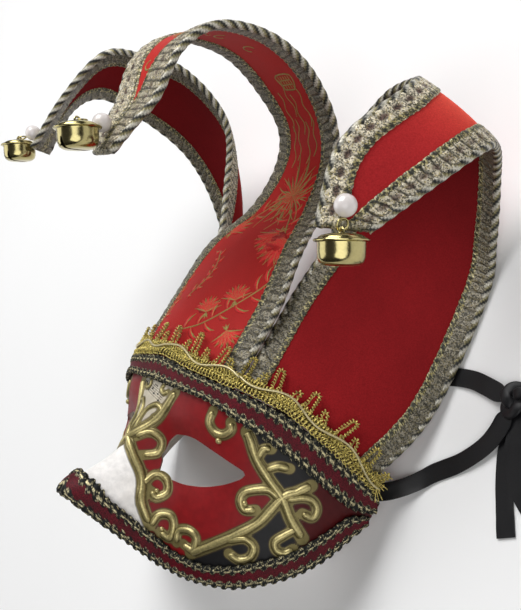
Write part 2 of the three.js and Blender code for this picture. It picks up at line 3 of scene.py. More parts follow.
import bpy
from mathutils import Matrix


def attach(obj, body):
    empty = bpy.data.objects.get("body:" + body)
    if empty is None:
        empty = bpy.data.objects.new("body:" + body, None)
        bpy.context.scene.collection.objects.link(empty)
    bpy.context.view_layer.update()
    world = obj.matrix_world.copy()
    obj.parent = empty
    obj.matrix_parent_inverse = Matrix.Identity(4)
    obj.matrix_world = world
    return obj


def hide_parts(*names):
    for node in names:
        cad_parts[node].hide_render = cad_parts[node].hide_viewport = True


bl_info = {
    "name": "Jester half mask",
    "version": (1, 0, 0),
    "blender": (4, 5, 0),
    "location": "3D view > Sidebar > Mask",
    "description": "Builds the painted face, the trimmed horns, the lace, bells, pearls and ribbons of a carnival mask",
    "category": "Add Mesh",
}

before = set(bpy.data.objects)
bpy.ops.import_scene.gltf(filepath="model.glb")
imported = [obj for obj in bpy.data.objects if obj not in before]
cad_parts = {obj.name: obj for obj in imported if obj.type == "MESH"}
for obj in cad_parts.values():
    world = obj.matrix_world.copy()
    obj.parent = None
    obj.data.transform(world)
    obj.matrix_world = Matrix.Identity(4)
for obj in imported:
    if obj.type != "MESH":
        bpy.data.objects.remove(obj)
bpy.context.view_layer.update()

import math
from functools import cache

import bpy
import numpy as np
from bpy.props import FloatProperty, FloatVectorProperty, PointerProperty
from mathutils import Matrix, Vector

# Shapes are worked out in millimetres in the mask's own frame, as it is worn: x to the viewer's
# right, y up the face, z out of the face. `laid` carries them to the frame, in metres.
REST_TURN_X = math.radians(8.68)
REST_TURN_Y = math.radians(-3.59)
REST_SHIFT = np.array([13.68, -67.476, -2.341])
FOLD = 50  # degrees between faces from which an edge stays sharp

# The camera, in the mask's own frame
CAMERA_TARGET = np.array([0.0, 60.0, 50.0])
CAMERA_AZIMUTH = math.radians(54.9)
CAMERA_ROLL = math.radians(10.4)
CAMERA_DISTANCE = 450.0
CAMERA_SLIDE = (19.3, 15.7)
IMAGE_SIZE = (521, 610)
FOCAL_PIXELS = 884.5
SENSOR = 36.0

SKIN = 1.25  # from the middle surface of the face to its two skins
FACE_ROUND = 2.2
TEMPLE_ANGLE = 85.0
DEGREE = 1.45  # millimetres round the face
GAP = 0.35
FOOT_GAP = 1.0
BAND_OFF = 0.9
GIMP_WIDTH = 11.0
GIMP_INSET = 0.3  # of the brow band below the top of the face
BAND_APART = 0.6  # least distance between the two bands, near the temples
BAND_SHORT = 2  # degrees by which the lower band and the lace stop before the temple
GIMP_PITCH = 4.6
LACE_OFF = 3.85
LACE_PITCH = 10.5
FEET_APART = 1.5  # degrees past the centre horn where the side horns begin to carry the lace
HORN_CLOTH = 2.0
HORN_BRAID_THICK = 4.4
BRAID_PITCH = 3.3
FLAT_TIP = 0.985  # share of a horn above which it no longer bows
CORD_LEAD = 13  # along a horn for one turn of its twisted cord
BELL_HEIGHT = 12.5
BELL_WALL = 0.6
SLIT_HALF = 0.9
LOOP_RISE = 0.75
LOOP_RADIUS, LOOP_WIRE = 1.35, 0.5
RING_RADIUS, RING_WIRE = 2.4, 0.45
RIBBON_THICK = 0.4
IN_KNOT = 7  # how far each ribbon runs into the knot
KNOT_RADIUS = 4.2
KNOT_FLAT = 0.7  # how far the knot is pressed down

# Profiles of the face, each a list of knots (where, value)
HEAD_HALF_WIDTH = [(-60, 80), (-20, 85), (20, 86), (60, 82)]
HEAD_DEPTH = [(-60, 72), (-30, 79), (0, 81), (20, 81), (60, 77)]
NOSE_RISE = [(-46, 30), (-22, 39), (-15, 31), (-7, 20), (0, 13), (8, 10), (16, 6), (30, 1), (60, 0)]
NOSE_SPREAD = [(-46, 19), (-22, 17), (0, 11), (60, 10)]
TOP_RIM = [(0, 45.6), (16, 42.3), (32, 39.3), (50, 33), (60, 26.2), (70, 17.7), (80, 8), (85, 2.5)]
BROW_BORDER = [(0, 33.5), (20, 31.8), (40, 23.8), (50, 17.9), (60, 10.2), (70, 1.4), (78, -4), (85, -5)]
LOW_RIM = [
    (0, -21.5), (4, -27.8), (8, -36.8), (12, -44), (16, -47.9), (26, -49.9), (40, -48.3),
    (50, -44.1), (60, -38), (70, -28.7), (80, -14.3), (85, -7),
]
LOW_BORDER = [
    (0, -14.7), (4, -17.2), (8, -24), (12, -31.7), (16, -36.2), (20, -39.4), (30, -41), (40, -38.4),
    (50, -33), (60, -26.2), (70, -15), (78, -6.5), (85, -6),
]
EYE_FROM, EYE_TO = 7.8, 40.8
EYE_HIGH = [(7.8, 0.5), (9, 8), (12, 12.2), (17, 13.2), (27, 10), (35, 6.8), (38.8, 5.2), (40.2, 4.4), (40.8, 3.1)]
EYE_LOW = [
    (7.8, 0.5), (9, -7), (11, -9.2), (16, -9.9), (24, -8.4), (33, -4.2), (37.6, -0.9), (40.2, 1.6), (40.8, 3.1),
]

# Horns: the angles of the rim that each stands on, and its places as left edge, right edge and bow
CENTRE_HORN = {
    "rim": (-31, 31),
    "stations": [
        ([-half, y, z], [half, y, z], bow)
        for half, y, z, bow in [
            (46, 77, 53, 7), (40.5, 106, 42, 4), (30, 129, 26.5, 2), (25, 155, 18, 1), (23, 176, 22, 1),
            (25, 194, 41, 0), (24.5, 204, 62, 0), (24, 205, 84, 0), (24, 199, 102, 0), (23, 184, 115, 0),
            (20, 162, 120, 0), (15, 147, 127, 0), (8.5, 134.5, 131.5, 0),
        ]
    ],
}
RIGHT_HORN = {
    "rim": (34, 81),
    "stations": [
        ([41, 83, 42], [97, 43, -5], 2), ([43, 122, 25], [105, 100, -18], -6),
        ([49, 160, 30], [107, 126, -15], -6), ([73, 181, 35], [115, 151, -1], -4),
        ([102, 183, 44], [130, 159, 20], -2), ([118, 171, 64], [142, 153, 41], 0),
        ([113, 145, 86], [136, 133, 61], 0), ([110, 112, 88], [123, 114, 74], 0),
    ],
}
LEFT_HORN = {
    "rim": (-81, -34),
    "stations": [
        ([-87, 52, 2], [-50, 95, 34], 0), ([-91, 96, -4], [-62, 146, 26], -8),
        ([-100, 133, 6], [-67, 181, 32], -6), ([-111, 162, 26], [-80, 204, 57], -3),
        ([-124, 179, 53], [-95, 208, 81], 0), ([-135, 187, 80], [-106, 204, 97], 0),
        ([-141, 175, 96], [-121, 178, 109], 0), ([-146, 146, 104], [-136, 146, 117], 0),
    ],
}
# Where each pearl sits on its horn, as shares across and up, the bell's centre and axis and the turn
# of its slit in degrees
BELLS = {
    "centre": {"pearl": (0.45, 0.935), "bell": (2.8, 138.2, 146.2), "up": (-0.1, 0.98, 0.2), "slit": 0},
    "right": {"pearl": (0.37, 0.96), "bell": (120.8, 104.9, 83.2), "up": (-0.08, 0.98, 0.16), "slit": 60},
    "left": {"pearl": (0.77, 0.975), "bell": (-149, 144, 120), "up": (-0.1, 0.98, 0.2), "slit": 85},
}

# Gilded strokes of the right half, as (degrees round the head, height). The left half mirrors them.
GILDED_STROKES = [
    [(-9.4, 31), (-6.7, 22), (-4, 14.5), (0, 5), (3, -2), (8.8, -14.5), (12.9, -30.2)],
    [(25.8, -38.4), (34.3, -30.8), (42, -23.1), (48.4, -15.6), (54.2, -3.3), (58.5, 0.4), (62.6, 4.2)],
    [(39.4, 22.2), (40.8, 19.3), (43.7, 11.6), (48.7, 4), (54.2, -3.3), (58.3, -12.1), (63, -19.6)],
    [(1.8, 6.4), (4.3, 9.8), (7, 7), (6.8, 1), (4.6, -1.6)],
    [(8.6, -14), (8.9, -9.1), (11.7, -10.2), (13.8, -15), (12.5, -18.4), (10.8, -16.4)],
    [(13.1, -31.2), (14.4, -25.3), (17.3, -24.9), (18.8, -29), (18, -34.6), (15.3, -33.2)],
    [(20.3, -35.8), (20.8, -30), (24.6, -28.4), (27.7, -30.8), (26.7, -36.5), (23, -35.5)],
    [(53.4, -4), (49.8, -1.1), (46.2, -1.7), (42, -4.3), (41, -8.3), (42.8, -11.9), (46.5, -11)],
    [(55.5, -3.8), (60.6, -1.6), (64, -2.2), (65.9, -5.9), (65, -9.7), (61.5, -8.6)],
    [(38.5, -27.5), (44.3, -24.7), (47.8, -27.3), (47.3, -32.1), (43.7, -34.6), (40, -33)],
    [(60.8, -15.4), (56.7, -19.8), (54.4, -23.1), (55.3, -26.6), (58.1, -27.3), (60.5, -25)],
    [(26.4, 27.6), (26, 22.5), (28.1, 19), (31.2, 18.4), (34, 21.3), (33.5, 24.6)],
    [(44, 11.5), (45.5, 16.2), (48, 17.2)],
    [(47.6, 7.5), (51, 10.1), (54.8, 10.1)],
    [(0.6, 9.5), (0.4, 14.5), (1, 19.5), (3.4, 22.6), (6, 20.6), (5.4, 17.4), (3.6, 16.8)],
    [(3.4, 33), (2.8, 30.2), (4.4, 28.6), (6, 30)],
]
# How wide each stroke is against the usual: the borders of the fields are wide, the forehead's curls fine
STROKE_SHARES = [1.2, 1.2, 1.2, 1, 1, 1, 1, 1, 1, 1, 1, 1, 1, 1, 0.62, 0.62]

# The ribbons' routes on the floor, in millimetres in the frame
KNOT_AT = (151.0, -9.0, 2.9)
RIGHT_RIBBON_ROUTE = [
    (93, -66.5, 13.2), (97.1, -65.2, 9.5), (101.3, -63.1, 6.4), (105.6, -60.1, 4.1), (109.7, -56.7, 2.3),
    (113.8, -53, 1.1), (118.1, -49.3, 0.6), (122.8, -46.2, 0.5), (127.6, -43.2, 0.6), (132.2, -39.9, 0.9),
    (136.5, -36.2, 1.3), (140.5, -32.2, 1.8), (143.9, -27.7, 2.3), (146.5, -22.7, 2.7), (148.2, -17.3, 3),
]
LEFT_RIBBON_ROUTE = [
    (-70.5, -66, 0.5), (-62, -65.4, 0.5), (-50, -63.8, 0.5), (-35, -60.4, 0.5), (-18, -55.4, 0.5),
    (0, -49, 0.5), (20, -41, 0.5), (42, -31.5, 0.5), (64, -21.8, 0.5), (84, -13.5, 0.5),
    (100, -8, 0.5), (113, -4.9, 0.5), (125, -4.2, 1), (134, -5.6, 2.2), (142.6, -7.6, 2.9),
]
RIGHT_END_ROUTE = [
    (151.2, -17.9, 0.9), (151.1, -21.3, 0.6), (151.3, -24.8, 0.5), (151.6, -28.2, 0.5), (152, -31.7, 0.5),
    (152.6, -35, 0.5), (153.3, -38.4, 0.5), (154.2, -41.8, 0.5), (155.2, -45.1, 0.5), (156.3, -48.3, 0.5),
    (157.5, -51.6, 0.5), (158.6, -54.8, 0.5), (159.9, -58.1, 0.5), (161.1, -61.3, 0.5), (162.4, -64.5, 0.5),
]
LEFT_END_ROUTE = [
    (154.4, -17.3, 1.9), (154.7, -22.4, 1.8), (155.4, -27.4, 1.8), (156.5, -32.3, 1.7), (158.4, -37, 1.7),
    (160.9, -41.4, 1.7), (164.1, -45.4, 1.7), (167.8, -48.8, 1.5), (171.9, -51.7, 1.3), (176.4, -54.1, 0.9),
    (181.1, -55.9, 0.7), (186, -57.3, 0.5), (190.9, -58.3, 0.5), (196, -58.9, 0.5), (201, -59.4, 0.5),
]

DARK_GOLD = (0.07, 0.05, 0.022)
# Gold of the flat wash round the gilded lines, and a brighter gold for their raised crests: partly thicker gilding,
# partly a painted highlight on the round tops
GOLD_WASH = (0.2, 0.165, 0.065)
GOLD_CREST = (0.46, 0.39, 0.17)
BLACK = (0.007, 0.007, 0.008)
OLIVE_GOLD = (0.34, 0.26, 0.09)
BRIGHT_RED = (0.62, 0.035, 0.033)


# ---- numbers and arrays


def profile(knots, where):
    """Smooth curve through knots that never overshoots them: cubic pieces whose slope at a knot is the
    harmonic mean of the slopes beside it, and nought where they differ in sign."""
    x, y = np.array(knots, float).T
    rise = np.diff(y) / np.diff(x)
    slope = np.empty(len(x))
    slope[0], slope[-1] = rise[0], rise[-1]
    pair = rise[:-1] * rise[1:]
    slope[1:-1] = np.where(pair > 0, 2 * pair / np.where(pair > 0, rise[:-1] + rise[1:], 1), 0)
    at = np.clip(where, x[0], x[-1])
    i = np.clip(np.searchsorted(x, at, "right") - 1, 0, len(x) - 2)
    width = x[i + 1] - x[i]
    f = (at - x[i]) / width
    g = 1 - f
    start = y[i] * (1 + 2 * f) * g * g + slope[i] * width * f * g * g
    return start + y[i + 1] * (3 - 2 * f) * f * f - slope[i + 1] * width * f * f * g


def along(points, share):
    """Points at shares of the way through a list, on a cardinal spline whose ends run straight out."""
    p = np.array(points, float)
    p = np.vstack([2 * p[0] - p[1], p, 2 * p[-1] - p[-2]])
    last = len(p) - 3
    at = np.clip(np.asarray(share, float), 0, 1) * last
    k = np.minimum(at.astype(int), last - 1)
    f = (at - k)[..., None]
    a, b, c, d = p[k], p[k + 1], p[k + 2], p[k + 3]
    return b + 0.5 * f * (c - a + f * (2 * a - 5 * b + 4 * c - d + f * (3 * (b - c) + d - a)))


def shares(count):
    """Evenly spaced numbers from 0 to 1."""
    return np.linspace(0, 1, count)


def turns(count):
    """Evenly spaced angles once round a circle."""
    return np.arange(count) * 2 * np.pi / count


def unit(v):
    """Vectors of length one."""
    return v / np.maximum(np.linalg.norm(v, axis=-1, keepdims=True), 1e-9)


def travelled(points):
    """How far along a line each of its points is: the sum of the steps before it."""
    return np.concatenate([[0], np.cumsum(np.linalg.norm(np.diff(points, axis=0), axis=1))])


def sideways(line, normal):
    """Unit directions across a line on a surface: the cross product of its direction and the normal."""
    return unit(np.cross(unit(np.gradient(line, axis=0)), normal))


def smooth(low, high, x):
    """0 below low, 1 above high, and 3t^2 - 2t^3 between."""
    t = np.clip((x - low) / (high - low), 0, 1)
    return t * t * (3 - 2 * t)


def grain(*axes, seed=0):
    """A repeatable number from 0 to 1 for whole numbers: the fraction of a large sine."""
    total = np.full(np.broadcast(*axes).shape, 12.9898 * seed)
    for n, axis in enumerate(axes):
        total = total + np.floor(axis) * (78.233 + 37.719 * n)
    return np.abs(np.sin(total) * 43758.5453) % 1


def mottle(x, y, seed=0.0):
    """Soft blotches from 0 to 1: a sum of sines at slowly turning directions."""
    total = np.zeros(np.broadcast(x, y).shape)
    for k in range(5):
        turn = 1.3 * k + seed
        total = total + np.sin((x * math.cos(turn) + y * math.sin(turn)) * 1.7**k + 5.1 * k + seed) / (k + 1.5)
    return 0.5 + 0.3 * total


def blend(a, b, weight):
    """Colours between a and b."""
    w = np.asarray(weight)[..., None]
    return np.asarray(a) * (1 - w) + np.asarray(b) * w


def laid(points):
    """Points of the mask's own frame, in millimetres, as they lie in the frame, in metres:
    turned about y, then about x, then shifted."""
    cx, sx = math.cos(REST_TURN_X), math.sin(REST_TURN_X)
    cy, sy = math.cos(REST_TURN_Y), math.sin(REST_TURN_Y)
    about_y = np.array([[cy, 0, sy], [0, 1, 0], [-sy, 0, cy]])
    about_x = np.array([[1, 0, 0], [0, cx, -sx], [0, sx, cx]])
    return (np.asarray(points) @ (about_x @ about_y).T + REST_SHIFT) / 1000


# ---- surfaces


def face_point(angle, height):
    """Middle surface of the face: a rounded head plan |x/w|^2.2 + |z/d|^2.2 = 1, the ridge of the nose,
    a shallow eye socket and the brow above it."""
    a = np.radians(angle)
    power = 2 / FACE_ROUND
    x = profile(HEAD_HALF_WIDTH, height) * np.sign(a) * np.abs(np.sin(a)) ** power
    side = np.abs(x)
    nose = profile(NOSE_RISE, height) * np.exp(-((side / profile(NOSE_SPREAD, height)) ** 2.3))
    socket = 5 * np.exp(-(((side - 30) / 19) ** 2) - ((height - 2) / 16) ** 2)
    brow = 1.5 * np.exp(-(((side - 32) / 26) ** 2) - ((height - 22) / 9) ** 2)
    z = profile(HEAD_DEPTH, height) * np.abs(np.cos(a)) ** power + nose - socket + brow
    return np.stack([x, height + 0 * x, z], -1)


def with_normal(surface, u, v, step):
    """Points of a surface and its unit normals, the cross product of small steps across and up."""
    across = surface(u + step, v) - surface(u - step, v)
    up = surface(u, v + step) - surface(u, v - step)
    return surface(u, v), unit(np.cross(across, up))


def face(angle, height):
    """Points and normals of the face's middle surface."""
    angle, height = np.broadcast_arrays(np.asarray(angle, float), np.asarray(height, float))
    return with_normal(face_point, angle, height, 0.05)


def horn_surface(horn):
    """The middle surface of a horn: straight across between its two edge curves, bowed forward by
    4u(1 - u), and eased over its first two places onto the curved rim of the face."""
    low, high = horn["rim"]

    def rim_point(across):
        angle = low + (high - low) * across
        return face_point(angle, profile(TOP_RIM, np.abs(angle)) + FOOT_GAP)

    left = [rim_point(np.array(0.0))] + [s[0] for s in horn["stations"]]
    right = [rim_point(np.array(1.0))] + [s[1] for s in horn["stations"]]
    bows = [[0.0]] + [[s[2]] for s in horn["stations"]]

    def flat(across, share):
        a, b = along(left, share), along(right, share)
        point = a + (b - a) * across[..., None]
        forward = unit(np.cross(b - a, along(left, np.minimum(share + 0.01, 1)) - a))
        bow = along(bows, share)[..., 0] * 4 * across * (1 - across) * (share <= FLAT_TIP)
        return point + forward * bow[..., None]

    def eased(across, up):
        across, up = np.broadcast_arrays(np.asarray(across, float), np.asarray(up, float))
        weight = np.maximum(0, 1 - np.maximum(up, 0) * len(horn["stations"]) / 2) ** 2
        off = rim_point(across) - flat(across, np.zeros_like(up))
        return flat(across, np.clip(up, 0, 1)) + off * weight[..., None]

    return eased


HORNS = {
    side: {**form, "surface": horn_surface(form)}
    for side, form in (("centre", CENTRE_HORN), ("right", RIGHT_HORN), ("left", LEFT_HORN))
}


def horn(side, across, up):
    """Points and normals of a horn's middle surface."""
    return with_normal(HORNS[side]["surface"], np.asarray(across, float), np.asarray(up, float), 0.004)


@cache
def horn_rows(side, count):
    """Evenly spaced shares up a horn by the length of its middle line, its widths there in
    millimetres, and the length travelled."""
    fine = shares(400)
    surface = HORNS[side]["surface"]
    run = travelled(surface(np.full(400, 0.5), fine))
    length = np.linspace(0, run[-1], count)
    up = np.interp(length, run, fine)
    width = np.linalg.norm(surface(np.ones(count), up) - surface(np.zeros(count), up), axis=1)
    return up, width, length


# ---- meshes


def grid_quads(rows, columns, round_rows=False, round_columns=False):
    """Quads of a grid of points numbered row by row, closed on itself where asked."""
    r = np.arange(rows if round_rows else rows - 1)
    c = np.arange(columns if round_columns else columns - 1)
    r, c = np.meshgrid(r, c, indexing="ij")
    r2, c2 = (r + 1) % rows, (c + 1) % columns
    quads = [r * columns + c, r * columns + c2, r2 * columns + c2, r2 * columns + c]
    return np.stack(quads, -1).reshape(-1, 4)


def rim_quads(quads, count):
    """Quads that join the open edges of a sheet to the same edges of its copy, count points later."""
    start = quads.ravel()
    end = np.roll(quads, -1, axis=1).ravel()
    open_edge = ~np.isin(start * count + end, end * count + start)
    a, b = start[open_edge], end[open_edge]
    return np.stack([b, a, a + count, b + count], -1)


def closed_sheet(top, bottom, quads):
    """A sheet with its copy below it, joined round every open edge."""
    count = len(top)
    faces = np.vstack([quads, quads[:, ::-1] + count, rim_quads(quads, count)])
    return np.vstack([top, bottom]), faces


def tube(rings, closed=False):
    """Rings of points carried along a line, with a point in the middle of each open end."""
    n, m = rings.shape[:2]
    points = rings.reshape(-1, 3)
    quads = grid_quads(n, m, round_rows=closed, round_columns=True)
    if closed:
        return points, quads
    ends = np.vstack([rings[0].mean(0), rings[-1].mean(0)])
    k = np.arange(m)
    j = (k + 1) % m
    first = np.stack([np.full(m, n * m), j, k, k], -1)
    last = np.stack([np.full(m, n * m + 1), k + (n - 1) * m, j + (n - 1) * m, j + (n - 1) * m], -1)
    return np.vstack([points, ends]), np.vstack([quads, first, last])


def frames(line, closed=False):
    """Two unit directions across each place of a line: the cross product of a fixed direction and its
    own, and of its own and that."""
    ahead = np.roll(line, -1, axis=0) - np.roll(line, 1, axis=0) if closed else np.gradient(line, axis=0)
    ahead = unit(ahead)
    side = unit(np.cross([0.13, 0.21, 0.97], ahead))
    return side, np.cross(ahead, side)


def rings(line, one_way, other_way, x, y):
    """Rings of points round a line: x one way across it and y the other way."""
    return line[:, None] + x[..., None] * one_way[:, None] + y[..., None] * other_way[:, None]


def lens(line, side, lift, half, high, low):
    """A flat lens along a line on a surface: half its width to both sides, high above it and low below."""
    x = np.reshape(half, (-1, 1)) * [-1, 0, 1, 0]
    return tube(rings(line, side, lift, x, np.array([0, high, 0, -low])))


def thread(line, radius, sides, closed=False):
    """A thread along a line: circles of the radius across it."""
    side, over = frames(line, closed)
    radius = np.reshape(radius, (-1, 1))
    return tube(rings(line, side, over, radius * np.cos(turns(sides)), radius * np.sin(turns(sides))), closed)


def ended(values):
    """Values for the points of an open tube, and the first and last again for the middles of its ends."""
    return np.concatenate([values, values[:1], values[-1:]])


def joined(parts):
    """Several parts as one, each its points, its faces and any values for the points."""
    points, faces, *values = zip(*parts)
    starts = np.cumsum([0] + [len(p) for p in points[:-1]])
    return np.vstack(points), np.vstack([f + start for f, start in zip(faces, starts)]), *map(np.concatenate, values)


def outward(points, faces):
    """The faces, turned round if they enclose a negative volume."""
    a, b, c, d = (points[faces[:, k]] for k in range(4))
    volume = np.einsum("ij,ij->", a, np.cross(b, c)) + np.einsum("ij,ij->", a, np.cross(c, d))
    return faces if volume > 0 else faces[:, ::-1]


def add_object(name, data):
    """A new object in the scene."""
    added = bpy.data.objects.new(name, data)
    bpy.context.scene.collection.objects.link(added)
    return added


def make_piece(
    name, slot, nodes, material, points, faces, paint=None, shine=None, gap=None, sharp=0, in_frame=False
):
    """One mesh object in the frame from points and four-cornered faces, where a repeated corner makes a
    triangle. For each point, paint is a colour, shine a share of metal and gap a distance from the gilding.
    Trimming that reaches the floor is pressed flat on it."""
    places = np.asarray(points, float)
    places = places / 1000 if in_frame else laid(places)
    places[:, 2] = np.maximum(places[:, 2], 0)
    faces = outward(places, np.asarray(faces))
    three = (faces[:, 3] == faces[:, 2]) | (faces[:, 3] == faces[:, 0]) | (faces[:, 0] == faces[:, 1])
    corners = [faces[~three].ravel(), *(list(dict.fromkeys(row)) for row in faces[three].tolist())]
    sizes = np.repeat([4, 3], [(~three).sum(), three.sum()]).astype(np.int32)
    mesh = bpy.data.meshes.new(name)
    mesh.vertices.add(len(places))
    mesh.vertices.foreach_set("co", places.astype(np.float32).ravel())
    mesh.loops.add(int(sizes.sum()))
    mesh.loops.foreach_set("vertex_index", np.concatenate(corners).astype(np.int32))
    mesh.polygons.add(len(sizes))
    mesh.polygons.foreach_set("loop_start", (np.cumsum(sizes) - sizes).astype(np.int32))
    mesh.update(calc_edges=True)
    mesh.validate()
    mesh.shade_smooth()
    if sharp:
        mesh.set_sharp_from_angle(angle=math.radians(sharp))
    if paint is not None:
        colours = np.column_stack([paint, np.ones(len(places))]).astype(np.float32)
        mesh.attributes.new("paint", "FLOAT_COLOR", "POINT").data.foreach_set("color", colours.ravel())
    for label, values in (("shine", shine), ("gap", gap)):
        if values is not None:
            values = np.broadcast_to(values, len(places)).astype(np.float32)
            mesh.attributes.new(label, "FLOAT", "POINT").data.foreach_set("value", values)
    mesh.materials.append(material)
    piece = add_object(name, mesh)
    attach(piece, "root")
    if nodes:
        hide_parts(*nodes)
    return piece


# ---- materials


def fill(node, inputs):
    """Gives each of a node's inputs a plain value or another node's output."""
    for socket, value in inputs.items():
        if isinstance(value, bpy.types.NodeSocket):
            node.id_data.links.new(value, node.inputs[socket])
        else:
            node.inputs[socket].default_value = value


def add_node(tree, kind, inputs=None, **settings):
    """A new shader node with its settings and inputs."""
    node = tree.nodes.new("ShaderNode" + kind)
    for setting, value in settings.items():
        setattr(node, setting, value)
    fill(node, inputs or {})
    return node


def remapped(tree, value, low, high, to_low, to_high):
    """A value carried from one range to another and held at its ends."""
    ends = {"From Min": low, "From Max": high, "To Min": to_low, "To Max": to_high}
    return add_node(tree, "MapRange", {"Value": value, **ends}).outputs["Result"]


def own(tree, label):
    """The outputs of one of the mesh's own attributes."""
    return add_node(tree, "Attribute", attribute_name=label).outputs


def object_place(tree):
    """The object's own coordinates."""
    return add_node(tree, "TexCoord").outputs["Object"]


def shader(name, **sockets):
    """A new material, its tree and its Principled shader, with plain values on the sockets."""
    material = bpy.data.materials.new(name)
    material.use_nodes = True
    principled = material.node_tree.nodes["Principled BSDF"]
    fill(principled, {socket.replace("_", " "): value for socket, value in sockets.items()})
    return material, material.node_tree, principled


def add_bump(tree, principled, height, strength, distance):
    """Small relief from a height output."""
    bump = add_node(tree, "Bump", {"Strength": strength, "Distance": distance, "Height": height})
    fill(principled, {"Normal": bump.outputs["Normal"]})


def varied_colour(tree, principled, source, noise_scale, low, high):
    """Base colour that is a source colour made lighter and darker by noise on the object's own
    coordinates. Returns the noise."""
    noise = add_node(
        tree, "TexNoise", {"Vector": object_place(tree), "Scale": noise_scale, "Detail": 3, "Roughness": 0.55}
    ).outputs["Fac"]
    shade = {0: source, "Scale": remapped(tree, noise, 0.3, 0.7, low, high)}
    fill(principled, {"Base Color": add_node(tree, "VectorMath", shade, operation="SCALE").outputs["Vector"]})
    return noise


def finish(name, colour, noise_scale, low, high, bump=0.0, bump_depth=0.0002, **sockets):
    """A finish of one colour, or without one of the mesh's own colours and shares of metal, varied by
    noise that may also give it small relief."""
    material, tree, principled = shader(name, **sockets)
    if colour is None:
        colour = own(tree, "paint")["Color"]
        fill(principled, {"Metallic": own(tree, "shine")["Fac"]})
    noise = varied_colour(tree, principled, colour, noise_scale, low, high)
    if bump:
        add_bump(tree, principled, noise, bump, bump_depth)
    return material


# ---- settings


def colour_setting(name, description, default):
    """A colour a user would change."""
    return FloatVectorProperty(name=name, description=description, subtype="COLOR", default=default)


def length_setting(name, description, default):
    """A length a user would change, in metres."""
    return FloatProperty(name=name, description=description, unit="LENGTH", default=default)


class MaskColours(bpy.types.PropertyGroup):
    """Colours a user would change."""

    face_red: colour_setting("Face red", "Red fields of the face", (0.23, 0.008, 0.01))
    face_white: colour_setting("Face white", "Pearly nose and forehead", (0.84, 0.82, 0.8))
    velvet: colour_setting("Velvet", "Red velvet of the side horns", (0.21, 0.008, 0.01))
    brocade: colour_setting("Brocade", "Ground of the centre horn's brocade", (0.43, 0.017, 0.015))
    gimp: colour_setting("Gimp velvet", "Burgundy ribbon of the gimp bands", (0.1, 0.003, 0.009))


class MaskSizes(bpy.types.PropertyGroup):
    """Sizes a user would change."""

    stroke_width: length_setting("Gilded line", "Width of the gilded lines", 0.0042)
    stroke_height: length_setting("Gilding", "Height of the gilded lines", 0.0014)
    braid_width: length_setting("Horn braid", "Width of the braid on the horns", 0.010)
    ribbon_width: length_setting("Ribbon", "Width of the satin ribbon", 0.0085)
    pearl_radius: length_setting("Pearl", "Radius of a pearl", 0.0045)


# ---- the face


def face_region(angle, height):
    """Which field a place on the face is in: 0 white, 1 eye red, 2 black above the crossing,
    3 red outside it, 4 black below it. The gilded lines are the borders."""
    a = np.abs(angle)
    nose, lower, upper = (np.array(GILDED_STROKES[k], float) for k in range(3))
    nose_angle = np.abs(np.interp(height, nose[::-1, 1], nose[::-1, 0]))
    line_height = np.interp(a, lower[:, 0], lower[:, 1])
    line_height = np.where(a > lower[-1, 0], lower[-1, 1] + (a - lower[-1, 0]), line_height)
    line_height = np.where(a < lower[0, 0], lower[0, 1] - (lower[0, 0] - a), line_height)
    cross_angle = np.interp(height, upper[::-1, 1], upper[::-1, 0])
    above, beyond = height > line_height, a > cross_angle
    region = np.where(above, np.where(beyond, 2, 1), np.where(beyond, 3, 4))
    return np.where(a < nose_angle, 0, region)


def stroke_points():
    """Every stroke of both halves as points on the face, closely spaced, with its share of the width."""
    lines = []
    for stroke, share in zip(GILDED_STROKES, STROKE_SHARES):
        for half in (1, -1):
            angle, height = along(stroke, shares(8 * len(stroke))).T
            lines.append((face_point(half * angle, height), share))
    return lines


def face_paint(angle, height, colours):
    """Colours of the face, its fields with soft blotches, and the distance of each place from the nearest
    gilded line, in shares of that line's width."""
    region = face_region(angle, height)
    x, y = angle * DEGREE, height
    red = blend(colours.face_red, np.array(colours.face_red) * 0.72, mottle(x / 9, y / 9))
    black = blend(BLACK, (0.014, 0.013, 0.014), mottle(x / 6, y / 6, 2))
    white = blend(colours.face_white, np.array(colours.face_white) * (0.86, 0.82, 0.76), mottle(x / 5, y / 14, 4) ** 2)
    white = blend(white, white * (0.63, 0.59, 0.49), smooth(5, 9, y))
    red = blend(red, red * 0.32, region == 3)
    paint = np.where((region == 0)[:, None], white, np.where(((region == 1) | (region == 3))[:, None], red, black))
    places = face_point(angle, height)
    near = np.full(len(places), 99.0)
    for line, share in stroke_points():
        box = np.all((places > line.min(0) - 5) & (places < line.max(0) + 5), axis=1)
        if box.any():
            gaps = np.linalg.norm(places[box][:, None] - line[None], axis=2).min(1)
            near[box] = np.minimum(near[box], gaps / share)
    return paint, near


def face_finish():
    """The painted face: the mesh's own colours, and by its distance from the gilding a thin wash of gold
    that ends 2.4 mm from the middle of a line, with a dark edge half a millimetre wider."""
    material, tree, principled = shader("Painted papier-mache", Roughness=0.48, Specular_IOR_Level=0.22)
    colour, gap = own(tree, "paint")["Color"], own(tree, "gap")["Fac"]
    for near, far, share, gold in ((2.6, 3.0, 0.75, DARK_GOLD), (2.32, 2.46, 1.0, GOLD_WASH)):
        over = {0: remapped(tree, gap, near, far, share, 0), 6: colour, 7: (*gold, 1)}
        colour = add_node(tree, "Mix", over, data_type="RGBA").outputs[2]
    fill(principled, {"Metallic": remapped(tree, gap, 2.32, 2.46, 0.4, 0)})
    noise = varied_colour(tree, principled, colour, 300, 0.88, 1.1)
    add_bump(tree, principled, noise, 0.2, 0.0002)
    return material


